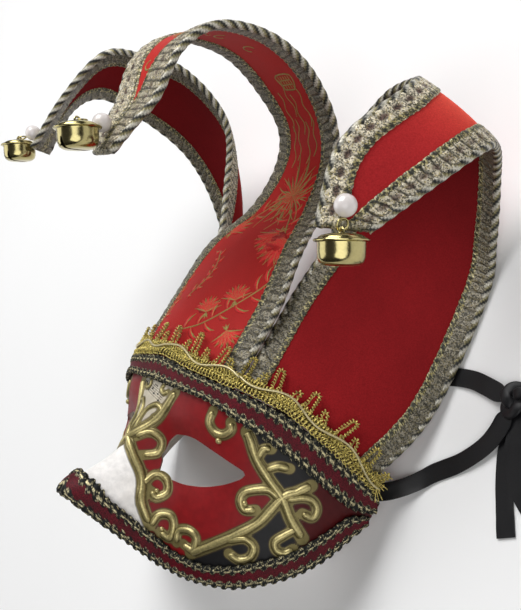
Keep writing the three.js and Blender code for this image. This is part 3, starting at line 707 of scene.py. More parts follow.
def shell_grid(columns, lower_rows, upper_rows):
    """Angles, heights and quads of the face in two strips that share their middle row outside the eyes."""
    angle = np.linspace(-TEMPLE_ANGLE, TEMPLE_ANGLE, columns)
    a = np.abs(angle)
    no_eye = (a <= EYE_FROM) | (a >= EYE_TO)
    high = profile(EYE_HIGH, a)
    low = np.where(no_eye, high, profile(EYE_LOW, a))
    rim, top = profile(LOW_RIM, a), profile(TOP_RIM, a)
    f = shares(lower_rows)[:, None]
    g = shares(upper_rows)[:, None]
    heights = np.vstack([rim + (low - rim) * f, high + (top - high) * g])
    angles = np.broadcast_to(angle, heights.shape)
    rows = lower_rows + upper_rows
    number = np.arange(rows * columns).reshape(rows, columns)
    number[lower_rows] = np.where(no_eye, number[lower_rows - 1], number[lower_rows])
    quads = grid_quads(rows, columns)
    quads = quads[quads[:, 0] // columns != lower_rows - 1]
    quads = number.ravel()[quads]
    used, quads = np.unique(quads, return_inverse=True)
    return angles.ravel()[used], heights.ravel()[used], quads.reshape(-1, 4)


class MASK_OT_face(bpy.types.Operator):
    """The papier-mache face: two curved sheets a wall apart, painted in fields"""

    bl_idname = "mask.face"
    bl_label = "Face"

    def execute(self, context):
        angle, height, quads = shell_grid(251, 48, 42)
        middle, normal = face(angle, height)
        paint, near = face_paint(angle, height, context.scene.mask_colours)
        below_top = profile(TOP_RIM, np.abs(angle)) - height
        # The inside is bare papier-mache, with painted shade: a near-black red along its top rim, under the lace.
        back = blend((0.05, 0.01, 0.01), (0.5, 0.46, 0.4), smooth(0.3, 1.2, below_top))
        ripple = 0.12 * (mottle(angle / 3, height / 4, 1) - 0.5)
        points, faces = closed_sheet(middle + normal * (SKIN + ripple)[:, None], middle - normal * SKIN, quads)
        make_piece("painted_face", "face_paint", ["mask_shell"], face_finish(), points, faces,
                   np.vstack([paint, back]), gap=np.concatenate([near, 0 * near + 99]), sharp=FOLD)
        return {"FINISHED"}


def gilded_line(stroke, half, share_of_width, sizes):
    """A raised line on the face, narrowing to rounded ends: across it a low flat foot and on that a round
    crest over the middle two thirds."""
    count = 9 * len(stroke)
    share = shares(count)
    angle, height = along(stroke, share).T
    point, normal = face(half * angle, height)
    run = travelled(point)[-1]
    from_end = np.minimum(share, 1 - share) * run
    taper = np.sqrt(np.clip(1 - (1 - np.minimum(from_end / 2.2, 1)) ** 2, 0.02, 1))
    s = np.array([-1, -0.9, -0.74, -0.64, -0.56, -0.4, -0.2, 0, 0.2, 0.4, 0.56, 0.64, 0.74, 0.9, 1])
    arch = 1000 * sizes.stroke_height * (0.28 * (1 - s**6) + 0.72 * (1 - np.minimum(np.abs(s) / 0.64, 1) ** 2) ** 0.7)
    across = np.concatenate([s, [0.8, 0, -0.8]]) * 500 * sizes.stroke_width * share_of_width
    rise = np.concatenate([arch * min(share_of_width, 1.1), [-0.6, -0.6, -0.6]])
    wobble = 1 + 0.07 * np.sin(share * run / 1.9 + stroke[0][0])
    x = across * (taper * wobble)[:, None]
    y = SKIN - 0.1 + rise * np.where(rise > 0, taper[:, None], 1)
    groove = np.exp(-(((np.abs(s) - 0.66) / 0.07) ** 2))
    # Painted highlight, in part: the round crest is a brighter gold than the flat foot beside it
    crest = np.concatenate([1 - smooth(0.5, 0.66, np.abs(s)), [0, 0, 0]])
    paint = blend(blend(GOLD_WASH, GOLD_CREST, crest), DARK_GOLD, 0.75 * np.concatenate([groove, [0, 0, 0]]))
    paint = np.vstack([np.tile(paint, (count, 1)), paint[:1], paint[:1]])
    return *tube(rings(point, sideways(point, normal), normal, x, y)), paint


def ink_line(route, width):
    """A flat printed line on the face through places (angle, height): a thin lens across it."""
    point, normal = face(*along(route, shares(8)).T)
    return lens(point + normal * (SKIN + 0.08), sideways(point, normal), normal, width / 2, 0.03, 0.1)


def printed_staff():
    """A printed staff across the forehead: five rules, short stems with heads, and beams over pairs of them."""
    start, end = np.array([-8.2, 31.8]), np.array([4.6, 26.2])
    step_over = np.array([0.16, 1.02])

    def at(share, line):
        return tuple(start + (end - start) * share + step_over * line)

    lines = [ink_line([at(0, k), at(0.5, k), at(1, k)], 0.2) for k in range(-2, 3)]
    for n, low in enumerate((-2, -1, 0, -1.5, 0.5, -1, 0, -2)):
        where = 0.08 + 0.12 * n
        lines.append(ink_line([at(where, low), at(where, low + 1), at(where, low + 2.3)], 0.22))
        lines.append(ink_line([at(where - 0.025, low - 0.1), at(where, low), at(where + 0.025, low + 0.1)], 0.75))
        if n % 2 == 0:
            beam = [at(where + step, low + 2.3) for step in (0, 0.06, 0.12)]
            lines.append(ink_line(beam, 0.45))
    return joined(lines)


class MASK_OT_gilding(bpy.types.Operator):
    """The raised gilded lines and curls of both halves of the face, and the staff printed on its forehead"""

    bl_idname = "mask.gilding"
    bl_label = "Gilding"

    def execute(self, context):
        lines = [
            gilded_line(stroke, half, share, context.scene.mask_sizes)
            for stroke, share in zip(GILDED_STROKES, STROKE_SHARES) for half in (1, -1)
        ]
        for half in (1, -1):
            for place, size in (((29.8, 15.4), 1.5), ((42.6, -9.2), 1.4), ((15.6, -31.6), 1.2), ((11.6, -15.8), 1.2)):
                point, normal = face(np.array(half * place[0]), np.array(place[1]))
                drop, drop_faces = ball(point + normal * SKIN, size, 12)
                lines.append((drop, drop_faces, np.full((len(drop), 3), GOLD_CREST)))
        gilding = finish("Antique gilding", None, 900, 0.7, 1.2, bump=0.35, Roughness=0.34)
        make_piece("gilded_lines", "face_paint", [], gilding, *joined(lines), 0.6)
        ink = finish("Printing ink", (0.03, 0.027, 0.025), 1200, 0.7, 1.4, Roughness=0.7)
        make_piece("printed_staff", "face_paint", [], ink, *printed_staff())
        return {"FINISHED"}


def ball(centre, radius, steps):
    """A ball as rings of points round the z axis, from pole to pole."""
    up = np.linspace(0.04, np.pi - 0.04, steps)[:, None]
    x, y = np.sin(up) * np.cos(turns(2 * steps)), np.sin(up) * np.sin(turns(2 * steps))
    return tube(centre + radius * np.stack([x, y, np.cos(up) + 0 * x], -1))


# ---- trimmings of the face


def rosettes(run, across, pitch, radius, petals, start):
    """A row of looped rosettes: round tops a pitch apart, parted into petals by |cos| of the angle round
    each centre. Gives the height, from 0 to 1, and how much of each place is the crest of a petal."""
    step = np.round(run / pitch - start)
    along_row = run - (step + start) * pitch
    r = np.hypot(along_row, across) / radius
    petal = np.abs(np.cos(petals * np.arctan2(across, along_row) / 2 + 0.7 * step))
    body = np.sqrt(np.clip(1 - r * r, 0, 1))
    crest = petal**2 * smooth(0.18, 0.5, r) * (r < 1)
    return body * (0.62 + 0.38 * petal), crest


def band_mesh(top, bottom):
    """A strip as rings of points carried along it: over its top and back under it."""
    return tube(np.concatenate([top, bottom[:, ::-1]], axis=1))


def gimp_piece(name, node, low, high, reach, colours, material):
    """A band on the face between two heights. Across it lie velvet and, on both sides of the velvet, a
    braid of two staggered rows of rosettes, whose outer petals scallop the edge."""
    columns, rows = 1100, 36
    angle = np.linspace(-reach, reach, columns)[:, None]
    f = shares(rows)[None]
    low, high = low(np.abs(angle)), high(np.abs(angle))
    run = travelled(face_point(angle[:, 0], ((low + high) / 2)[:, 0]))[:, None] + 0 * f
    across = f * GIMP_WIDTH + 0 * run
    from_edge = np.minimum(across, GIMP_WIDTH - across)
    flip = 0.25 * (across > GIMP_WIDTH / 2)
    outer, outer_crest = rosettes(run, from_edge - 1.3, GIMP_PITCH, 1.85, 13, flip)
    inner, inner_crest = rosettes(run, from_edge - 2.6, GIMP_PITCH, 1.6, 13, flip + 0.5)
    core = (np.abs(from_edge - 2.1) < 0.9) * 0.35
    braid = np.maximum(np.maximum(outer, inner), core)
    in_braid = smooth(0.1, 0.25, braid + (from_edge < 1.6))
    edge = np.where(f < 0.5, -1, 1) * 0.55 * (smooth(0, 0.5, outer) - 0.6) * (1 - smooth(0, 1.6, from_edge))
    point, normal = face(np.broadcast_to(angle, run.shape), low + (high - low) * f + edge)
    relief = np.where(in_braid > 0.5, 1.35 + 1.35 * braid, 1.7 + 0.15 * np.sin(np.pi * f))
    core_line = (np.abs(from_edge - 2.1) < 0.28) & (np.abs((run / GIMP_PITCH + flip) % 1 - 0.5) < 0.24)
    gold = np.maximum(outer_crest, inner_crest) ** 1.6 + 1.1 * core_line
    velvet = blend(colours.gimp, np.array(colours.gimp) * 0.55, mottle(run / 3, across / 3))
    gold = smooth(0.7, 1.0, gold * (0.72 + 0.45 * grain(run / 0.45, across / 0.45, seed=3)))
    paint = blend(velvet, blend((0.008, 0.009, 0.008), (0.62, 0.55, 0.33), gold), in_braid)
    shine = 0.6 * in_braid * gold
    foot = point + normal * (SKIN + BAND_OFF)
    top = point + normal * (SKIN + BAND_OFF + relief)[..., None]
    sides = [0, -1]
    # Painted shade: the band's sides darken to three tenths of its colours where they meet the face, with no metal.
    paint = np.concatenate([paint, 0.3 * paint[:, sides]], axis=1).reshape(-1, 3)
    shine = np.concatenate([shine, 0 * shine[:, sides]], axis=1).ravel()
    make_piece(name, "gimp", [node], material, *band_mesh(top, foot[:, sides]), ended(paint),
               np.concatenate([shine, [0, 0]]))


class MASK_OT_gimp(bpy.types.Operator):
    """The two gimp bands: burgundy velvet between two rows of black and gold loops"""

    bl_idname = "mask.gimp"
    bl_label = "Gimp bands"

    def execute(self, context):
        material = finish("Gimp braid", None, 1800, 0.3, 1.7, bump=0.4, Roughness=0.6, Specular_IOR_Level=0.2)
        colours = context.scene.mask_colours
        gimp_piece("brow_gimp", "brow_braid", lambda a: profile(BROW_BORDER, a),
                   lambda a: profile(TOP_RIM, a) - GIMP_INSET, TEMPLE_ANGLE, colours, material)
        gimp_piece("rim_gimp", "lower_braid", lambda a: profile(LOW_RIM, a),
                   lambda a: np.minimum(profile(LOW_BORDER, a), profile(BROW_BORDER, a) - BAND_APART),
                   TEMPLE_ANGLE - BAND_SHORT, colours, material)
        return {"FINISHED"}


def lace_place(angle, height, out):
    """A place on the lace: it stands on the rim of the face and leans along the foot of the horn behind."""
    angle, height, out = np.broadcast_arrays(*(np.asarray(v, float) for v in (angle, height, out)))
    point = face_point(angle, profile(TOP_RIM, np.abs(angle)) + GAP)
    result = np.zeros(point.shape)
    edge = CENTRE_HORN["rim"][1] + FEET_APART
    for side, chosen in (("centre", np.abs(angle) <= edge), ("right", angle > edge), ("left", angle < -edge)):
        if not chosen.any():
            continue
        low, high = HORNS[side]["rim"]
        across = np.clip((angle[chosen] - low) / (high - low), 0, 1)
        foot, normal = horn(side, across, np.full(across.shape, 0.001))
        rise = unit(HORNS[side]["surface"](across, np.full(across.shape, 0.05)) - foot)
        lift = rise * height[chosen][:, None] + normal * (LACE_OFF + out[chosen])[:, None]
        result[chosen] = point[chosen] + lift
    return result


def lace_coil(middle, reach, height, loop, loops, seed):
    """A thread that winds in loops along the lace at one height, each of its own size: a flattened circle
    whose middle moves along, waving out and in twice a turn."""
    share = shares(int(loops * 11))
    turn = 2 * np.pi * loops * share + seed
    size = loop * (0.72 + 0.5 * grain(turn / (2 * np.pi), seed=seed + 1))
    angle = middle - reach + 2 * reach * share + 0.55 * size * np.cos(turn) / DEGREE
    return lace_place(angle, height + size * np.sin(turn), 0.5 * np.sin(2 * turn + seed) + 0.3 * np.cos(turn))


def lace_finger(angle, lean, foot, top, wide, seed):
    """A finger of the lace: a hairpin, up one side, round the top and down the other, along which the
    thread winds in small loops 1.45 mm apart: r sin(turn) out from the hairpin, r cos(turn) along it and
    off it."""
    leg = top - foot - wide
    whole = 2 * leg + np.pi * wide
    loops = round(whole / 1.45)
    run = np.linspace(0, whole, loops * 9)
    arc = np.clip((run - leg) / wide, 0, np.pi)
    rising = np.minimum(np.minimum(run, leg), np.maximum(whole - run, 0))
    turn = 2 * np.pi * loops * run / whole + seed
    size = 0.5 + 0.25 * grain(turn / (2 * np.pi), seed=seed)
    reach = wide * (1 - 0.25 * rising / leg) + size * np.sin(turn)
    across = -reach * np.cos(arc) + 0.4 * size * np.cos(turn) * np.sin(arc)
    height = foot + rising + reach * np.sin(arc) + 0.4 * size * np.cos(turn) * np.cos(arc)
    share = (height - foot) / (top - foot)
    return lace_place(angle + lean * share + across / DEGREE, height, 0.1 + size * np.cos(turn) + 0.5 * share)


class MASK_OT_lace(bpy.types.Operator):
    """The gold lace: rows of looped thread, and fingers of it that stand up from them"""

    bl_idname = "mask.lace"
    bl_label = "Gold lace"

    def execute(self, context):
        reach = TEMPLE_ANGLE - BAND_SHORT
        threads = []
        for row, height in enumerate((0, 1.3, 2.6, 3.9, 5.2)):
            threads.append(thread(lace_coil(0, reach, height, 1.25, 128 + 9 * row, 1.9 * row), 0.31, 4))
        for k in range(int(4 * reach / LACE_PITCH) + 1):
            angle = -reach + 1 + k * LACE_PITCH / 2
            top, wide = (16.2 + 0.8 * math.sin(5 * k), 1.75) if k % 2 == 0 else (11.2, 1.4)
            finger = lace_finger(angle, 1.4 * math.sin(2.3 * k), height, top, wide, k)
            threads += [thread(line, 0.36, 4) for line in (finger, lace_coil(angle, 1.9, 6.4, 1.2, 2.6, k))]
        for k in range(9):
            bend = shares(14)
            loose = lace_place(82.5 - 0.4 * k + bend * (2 + 0.5 * (k % 3)), 2 + 0.6 * k - bend * (4 - k),
                               0.8 + bend * (1 + k % 3))
            threads.append(thread(loose, 0.25, 4))
        gold = finish("Gold thread", (0.5, 0.41, 0.12), 1300, 0.15, 1.9, bump=0.6, bump_depth=0.0003,
                      Metallic=0.75, Roughness=0.36)
        make_piece("gold_lace_threads", "gold_lace", ["gold_lace"], gold, *joined(threads))
        share = shares(900)
        wave = 4.4 + 1.9 * np.sin(2 * np.pi * share * reach / LACE_PITCH)
        cord = thread(lace_place(-reach + 2 * reach * share, wave, 1.1), 0.55, 6)
        pale = finish("Pale gold cord", (0.62, 0.54, 0.3), 1500, 0.7, 1.2, Metallic=0.6, Roughness=0.4)
        make_piece("gold_lace_cord", "gold_lace", [], pale, *cord)
        angle = np.linspace(-reach, reach, 640)
        teeth = np.interp(4 * (angle + reach) / LACE_PITCH % 4, [0, 1, 2, 3, 4], [6.4, 5, 6, 5, 6.4])
        heights = -1 + (teeth + 1) * shares(5)[:, None]
        front, back = (lace_place(angle, heights, out).reshape(-1, 3) for out in (-0.35, -0.65))
        # Painted shade: the lace's ground is a near-black brown sheet behind the rows of loops, for the dark between
        # the threads
        shaded_net = finish("Lace ground in painted shade", (0.06, 0.03, 0.012), 1500, 0.35, 1.3, Metallic=0.2, Roughness=0.6)
        make_piece("gold_lace_ground", "gold_lace", [], shaded_net, *closed_sheet(front, back, grid_quads(*heights.shape)),
                   sharp=FOLD)
        return {"FINISHED"}


# ---- horns


def woven_line(route, half_width, colour, front=True):
    """A raised line of the brocade through places (u, v), u millimetres from the middle line of the horn
    and v along it: a flat lens across it, as wide as half_width, a number or a list spread over the
    line, says."""
    u, v = along(route, shares(3 * len(route))).T
    up, width, run = horn_rows("centre", 400)
    point, normal = horn("centre", 0.5 + u / np.interp(v, run, width), np.interp(v, run, up))
    lift = normal if front else -normal
    point = point + lift * HORN_CLOTH / 2
    half = np.interp(shares(len(u)), shares(np.size(half_width)), np.atleast_1d(half_width))
    points, faces = lens(point, sideways(point, normal), lift, half, 0.16, 0.2)
    return points, outward(points, faces), np.full((len(points), 3), colour)


def leaf(at, turn, length, width, bend, colour, front):
    """A bent leaf: a filled lens along an arc."""
    heading = turn + bend * (shares(5) - 0.5)
    step = np.stack([np.cos(heading), np.sin(heading)], -1) * length / 4
    route = at + np.vstack([[0, 0], np.cumsum(step[:-1], axis=0)])
    return woven_line(route, [0.12, width * 0.8, width, width * 0.5, 0.1], colour, front)


def sprig(stem, leaf_length, front=True):
    """A stem with leaves to both sides, each with a red one under it."""
    parts = [woven_line(stem, 0.5, OLIVE_GOLD, front)]
    places = along(stem, np.linspace(0.03, 1, 3 * len(stem)))
    for k, (place, way) in enumerate(zip(places, np.gradient(places, axis=0))):
        bend = -0.9 if k % 2 else 0.9
        turn = math.atan2(way[1], way[0]) - 0.85 * bend
        size = leaf_length * (0.75 + 0.4 * abs(math.sin(2.1 * k)))
        parts.append(leaf(place, turn - 0.25 * bend, size * 0.9, 1.7, bend, BRIGHT_RED, front))
        parts.append(leaf(place, turn, size, 0.95, 1.3 * bend, OLIVE_GOLD, front))
    return parts


def flower(at, radius, turn, front=True):
    """A flower seen from its side: two fans of pointed red petals with gold lines along both edges, on a
    gold cup."""
    parts = []
    for reach, petals in ((1.05, 6), (0.66, 5)):
        for k in range(petals):
            off_middle = k - (petals - 1) / 2
            way, bend = turn + 0.46 * off_middle, 0.3 * off_middle
            parts.append(leaf(at, way, radius * reach, radius * 0.34, bend, BRIGHT_RED, front))
            for edge in (-1, 1):
                parts.append(leaf(at, way + 0.13 * edge, radius * reach, 0.62, bend - 0.5 * edge, OLIVE_GOLD, front))
    for k in (-1, 0, 1):
        parts.append(leaf(at, turn + math.pi + 0.6 * k, radius * 0.4, 0.7, 0.4 * k, OLIVE_GOLD, front))
    return parts


def burst(at, reach, front=True):
    """Long narrow leaves that radiate up and down the horn from one place."""
    parts = []
    for k in range(34):
        way = 2 * math.pi * k / 34 + 0.15
        length = reach * (0.4 + 0.6 * abs(math.sin(way))) * (0.8 + 0.2 * math.sin(5 * k))
        bend = 1.1 * math.cos(3 * k)
        parts.append(leaf(at, way + 0.08, length * 0.8, 1.0, bend, BRIGHT_RED, front))
        parts.append(leaf(at, way, length, 0.85, bend, OLIVE_GOLD, front))
    return parts


def brocade_motifs():
    """The woven pattern of the centre horn's two faces, from its foot to its tip."""
    parts = sprig([(-6, 13), (8, 20), (20, 31), (30, 43), (36, 53)], 9)
    parts += flower((8, 27), 9, 1.9) + flower((22, 37), 9, 2.0) + flower((27, 22), 9, -0.9)
    parts += sprig([(-18, 34), (-11, 44), (-11, 54), (-18, 64)], 4.5) + sprig([(-38, 16), (-31, 30), (-35, 44)], 6)
    parts += flower((28, 76), 17, -2.2) + flower((18, 80), 14, -1.8) + flower((-24, 78), 12, 1.2)
    parts += sprig([(30, 70), (18, 86), (8, 102)], 11) + sprig([(-26, 78), (-16, 92), (-3, 104)], 8)
    parts += burst((4, 106), 29)
    for u, v in ((-9, 124), (-5, 128), (3, 126), (8, 130), (0, 142), (-9, 144), (7, 146), (-3, 152)):
        route = [(u, v), (u + 1.6, v + 6), (u - 0.8, v + 12), (u + 1.2, v + 18), (u, v + 23)]
        parts.append(woven_line(route, 0.36, OLIVE_GOLD))
    parts += basket((3, 168))
    for front, middle, places in ((True, -1, (198, 216)), (False, 1, (212, 240, 262))):
        for v in places:
            t = np.linspace(0, 4.6, 12)
            spiral = np.stack([middle + (4.4 - 0.5 * t) * np.cos(t), v + (3.4 - 0.3 * t) * np.sin(t)], -1)
            parts.append(woven_line(spiral, 0.5, OLIVE_GOLD, front))
    parts += sprig([(-3, 222), (2, 230), (-1, 238)], 4) + sprig([(0, 222), (-3, 232), (1, 236)], 4, False)
    parts += sprig([(-20, 40), (-8, 62), (-12, 84)], 8, False) + burst((0, 112), 24, False)
    parts += sprig([(22, 30), (14, 60), (18, 80)], 8, False) + flower((-4, 28), 13, 1.5, False)
    parts += sprig([(-6, 140), (4, 156), (-4, 176), (3, 192)], 5, False)
    return parts


def basket(at):
    """A little woven basket: a flared outline, bars across it and short strokes between them."""
    u, v = at
    parts = [woven_line([(u - 4, v), (u + 4, v), (u + 6, v + 8.5), (u - 6, v + 8.5), (u - 4, v)], 0.5, OLIVE_GOLD)]
    for row in (2.8, 5.6):
        parts.append(woven_line([(u - 4.4, v + row), (u, v + row), (u + 4.4, v + row)], 0.35, OLIVE_GOLD))
    for k in range(5):
        for row in (0.4, 3.2, 6):
            x = u + (k - 2) * 2
            parts.append(woven_line([(x, v + row), (x, v + row + 1.1), (x, v + row + 2.2)], 0.35, OLIVE_GOLD))
    return parts


def braid_reach(side, braid_width, width, run):
    """How far the braid reaches in from the edge of a horn: its own width, and on the centre horn the two
    sides close up over the cloth, along 58 mm that begin 80 mm before the tip."""
    closing = np.clip((run - run[-1] + 80) / 58, 0, 1) if side == "centre" else 0 * run
    return np.minimum(braid_width + (width / 2 - braid_width) * closing, width / 2)


def horn_cloth(side, braid_width, colours):
    """The covered card between the braids, with its colours: front and back skins half a wall away
    from the middle surface."""
    columns, count = (30, 280) if side == "centre" else (24, 220)
    up, width, run = horn_rows(side, count)
    band = np.minimum(braid_reach(side, braid_width, width, run) - 1, width / 2 - 0.5)
    border = (band / width)[:, None]
    across = border + (1 - 2 * border) * shares(columns)
    point, normal = (a.reshape(-1, 3) for a in horn(side, across, np.broadcast_to(up[:, None], across.shape)))
    u = (across - 0.5) * width[:, None]
    v = np.broadcast_to(run[:, None], u.shape)
    half = HORN_CLOTH / 2 + 0.12 * (mottle(u / 14, v / 14, 3) - 0.5).reshape(-1, 1)
    base = np.array(colours.brocade if side == "centre" else colours.velvet)
    front = blend(base, base * 0.8, mottle(u / 11, v / 16, 5).ravel())
    # Painted highlight: a bright orange-red band across the side horns' backs where they fold over, two thirds of the
    # way up
    fold_highlight = np.exp(-(((v / run[-1] - 0.66) / 0.1) ** 2)).ravel()
    # Painted light: each horn's back, seen where it folds over, gets its own brightness for how the lamps fall on it,
    # much lighter on the right horn, a little on the centre, a deeper red on the left
    back_painted_light = {"centre": (1.15, 1.3, 1.2), "right": (1.8, 2.3, 2.1), "left": (1.1, 0.8, 0.7)}[side]
    back = front * back_painted_light
    if side != "centre":
        back = blend(back, front * (4.5, 13, 6), fold_highlight)
        # Painted light and shade: the side horns' fronts are lighter at the foot and darker towards the tip
        front = front * np.maximum(1.28 - v / run[-1], 0.8).reshape(-1, 1)
    quads = grid_quads(count, columns)
    return *closed_sheet(point + normal * half, point - normal * half, quads), np.vstack([front, back])


class MASK_OT_horns(bpy.types.Operator):
    """The three horns: brocade in the middle, red velvet at the sides"""

    bl_idname = "mask.horns"
    bl_label = "Horn cloth"

    def execute(self, context):
        colours, width = context.scene.mask_colours, 1000 * context.scene.mask_sizes.braid_width
        velvet = finish("Red velvet", None, 1500, 0.82, 1.18, bump=0.2, Roughness=0.95, Specular_IOR_Level=0.12,
                        Sheen_Weight=0.1, Sheen_Roughness=0.3, Sheen_Tint=(0.9, 0.15, 0.1, 1))
        brocade = finish("Red brocade", None, 2400, 0.86, 1.14, bump=0.2, Roughness=0.6, Specular_IOR_Level=0.15)
        for side in HORNS:
            material, slot = (brocade, "brocade") if side == "centre" else (velvet, "velvet")
            make_piece(side + "_horn_cloth", slot, [side + "_horn"], material, *horn_cloth(side, width, colours), 0,
                       sharp=FOLD)
        points, faces, paint = joined(brocade_motifs())
        silk = finish("Woven silk and gilt thread", None, 2600, 0.7, 1.25, Roughness=0.55, Specular_IOR_Level=0.12)
        make_piece("brocade_pattern", "brocade", [], silk, points, faces, paint, 0.5 * (paint[:, 1] > 0.1))
        return {"FINISHED"}


def braid_relief(v, w, band, painted_light_share, ribbed):
    """Half thickness, colours and shine of the horn braid over its length v and the share w from its
    outer to its inner edge: a crowned field, more or less ribbed across, with a row of holes along it,
    and a row of rosettes along the inner edge. Its fourth argument runs from dark to pale: painted shade
    and painted light on the one braid, dark where it lies in shade and pale where the lamps fall on it."""
    inside = (1 - w) * band
    loops, crest = rosettes(v, inside - 1.3, BRAID_PITCH, 1.8, 8, 0)
    field = 1 - smooth(0.15, 0.4, loops)
    warp = v + 0.6 * np.sin(v / 4.1) + 0.4 * np.sin(v / 1.7 + 4 * w)
    rib = smooth(0.1, 0.6, np.abs(np.sin(np.pi * (warp / 4.2 + 0.35 * w))))
    speck = grain(warp / 0.85, inside / 0.85, seed=4)
    crown = 0.5 + 0.5 * np.sqrt(np.clip(1 - ((w - 0.4) / 0.46) ** 2, 0, 1))
    half = 1.1 + crown * (0.3 + (0.25 + 0.5 * ribbed) * rib + 0.2 * speck)
    half = np.where(field > 0.5, half, 1.15 + 0.85 * loops)
    tone = (1 - ribbed * (1 - rib)) * (0.8 + 0.4 * speck)
    paint = blend((0.075, 0.066, 0.045), (0.62, 0.56, 0.45), painted_light_share) * tone[..., None]
    beads = smooth(0.3, 0.7, crest * (0.75 + 0.5 * speck))
    paint = blend(paint, blend((0.03, 0.03, 0.022), (0.42, 0.37, 0.19), beads), 1 - field)
    step = v - 6.4 * np.round(v / 6.4)
    hole = (1 - smooth(0.8, 1.2, np.hypot(step / 2.0, (w - 0.42) * band / 1.3))) * smooth(0.5, 0.75, painted_light_share)
    paint = blend(paint, (0.05, 0.012, 0.01), 0.9 * hole)
    return half - 0.5 * hole, paint, 0.15 + 0.2 * speck * (1 - hole)


def braid_strip(side, edge, braid_width):
    """A woven band along one edge of a horn, seen from both faces, as rings over its front and back."""
    rows, count = 14, 720 if side == "centre" else 560
    up, width, run = horn_rows(side, count)
    band = braid_reach(side, braid_width, width, run)[:, None]
    w = shares(rows)[None]
    v = run[:, None] + 0 * w
    scallop = rosettes(v, 0 * v, BRAID_PITCH, 1.75, 8, 0)[0]
    across = (band * w + 0.7 * (scallop - 0.6) * smooth(0.8, 1, w)) / width[:, None]
    if edge == 1:
        across = 1 - across
    point, normal = horn(side, across, up[:, None] + 0 * w)
    # Painted light and shade: the braid's front, in shade, is dark and its back, in the light where it folds over,
    # pale, one edge paler than the other
    front = braid_relief(v, w, band, 0.05 + 0.25 * mottle(v / 30, w, 2), 0.6 if side == "centre" else 0.4)
    pale, ribbed = (0.55, 0.85) if edge == 1 else (0.85, 0.45)
    back = braid_relief(v + 1, w, band, pale + 0.15 * mottle(v / 30, w, 3), ribbed)
    mesh = band_mesh(point + normal * front[0][..., None], point - normal * back[0][..., None])
    paint, shine = (np.concatenate([a, b[:, ::-1]], axis=1) for a, b in zip(front[1:], back[1:]))
    return *mesh, ended(paint.reshape(-1, 3)), np.concatenate([shine.ravel(), [0.3, 0.3]])


def piping(side, edge):
    """A twisted cord along the edge of a horn: a lobed circle whose two lobes turn round the line once
    every 13 mm, each a pale, a gilt and a dark ply side by side."""
    count, sides = 660, 12
    up, _, run = horn_rows(side, count)
    line, normal = horn(side, np.full(count, 0.004 if edge == 0 else 0.996), up)
    out = sideways(line, normal) * (-1 if edge == 0 else 1)
    around = turns(sides)
    turn = around - 2 * np.pi * (run + 0.6 * np.sin(run / 7))[:, None] / CORD_LEAD
    radius = 1.9 * (1 + 0.08 * np.cos(2 * turn))
    points, faces = tube(rings(line - out * 0.1, normal, out, radius * np.cos(around), radius * np.sin(around)))
    ply = (turn / np.pi) % 1
    pale = smooth(0, 0.08, ply) * (1 - smooth(0.38, 0.46, ply))
    gilt = smooth(0.4, 0.48, ply) * (1 - smooth(0.62, 0.7, ply))
    paint = blend(blend((0.012, 0.013, 0.012), (0.5, 0.475, 0.4), pale), (0.26, 0.225, 0.1), gilt).reshape(-1, 3)
    return points, faces, ended(paint), np.full(len(points), 0.3)


def tip_roll(side):
    """The end of the braid, rolled over the tip of a horn: a lumpy thread across it."""
    across = np.linspace(0.02, 0.98, 40)
    line, _ = horn(side, across, np.full(40, 0.992))
    bulge = 2.2 * np.sqrt(np.clip(1 - (2 * across - 1) ** 2 * 0.6, 0, 1))
    points, faces = thread(line, bulge + 0.25 * np.sin(9 * across * 2 * np.pi), 12)
    speck = grain(np.arange(len(points)) / 1.3, seed=5)
    return points, faces, blend((0.06, 0.06, 0.045), (0.4, 0.37, 0.28), speck), 0.4 * speck


def braid_finish():
    """The braid's threads: small cells, each black, gilt, silver or bright at random, times the mesh's
    own colour."""
    material, tree, principled = shader("Silver braid", Roughness=0.42)
    cells = add_node(tree, "TexVoronoi", {"Vector": object_place(tree), "Scale": 1800}).outputs
    pick = add_node(tree, "SeparateColor", {"Color": cells["Color"]})
    threads = add_node(tree, "ValToRGB", {"Fac": pick.outputs["Red"]})
    threads.color_ramp.interpolation = "CONSTANT"
    stops = [(0, (0.28, 0.28, 0.25)), (0.34, (0.85, 0.78, 0.5)), (0.5, (1.1, 1.1, 1.05)), (0.8, (1.45, 1.45, 1.4))]
    ramp = threads.color_ramp.elements
    for k, (at, colour) in enumerate(stops):
        stop = ramp[k] if k < 2 else ramp.new(at)
        stop.position = at
        stop.color = (*colour, 1)
    both = {0: threads.outputs["Color"], 1: own(tree, "paint")["Color"]}
    colour = add_node(tree, "VectorMath", both, operation="MULTIPLY").outputs["Vector"]
    fill(principled, {"Base Color": colour, "Metallic": own(tree, "shine")["Fac"]})
    add_bump(tree, principled, cells["Distance"], 0.5, 0.0003)
    return material


class MASK_OT_horn_braids(bpy.types.Operator):
    """The silver and black braid round each horn, with a twisted cord along its outer edge"""

    bl_idname = "mask.horn_braids"
    bl_label = "Horn braids"

    def execute(self, context):
        width = 1000 * context.scene.mask_sizes.braid_width
        woven = braid_finish()
        twisted = finish("Twisted cord", None, 1600, 0.5, 1.5, bump=0.4, Roughness=0.45)
        for side in HORNS:
            strips = [braid_strip(side, 0, width), braid_strip(side, 1, width), tip_roll(side)]
            cords = [piping(side, 0), piping(side, 1)]
            make_piece(side + "_braid", "silver_braid", [side + "_horn_braid"], woven, *joined(strips))
            make_piece(side + "_piping", "silver_braid", [], twisted, *joined(cords))
        return {"FINISHED"}


# ---- bells and pearls


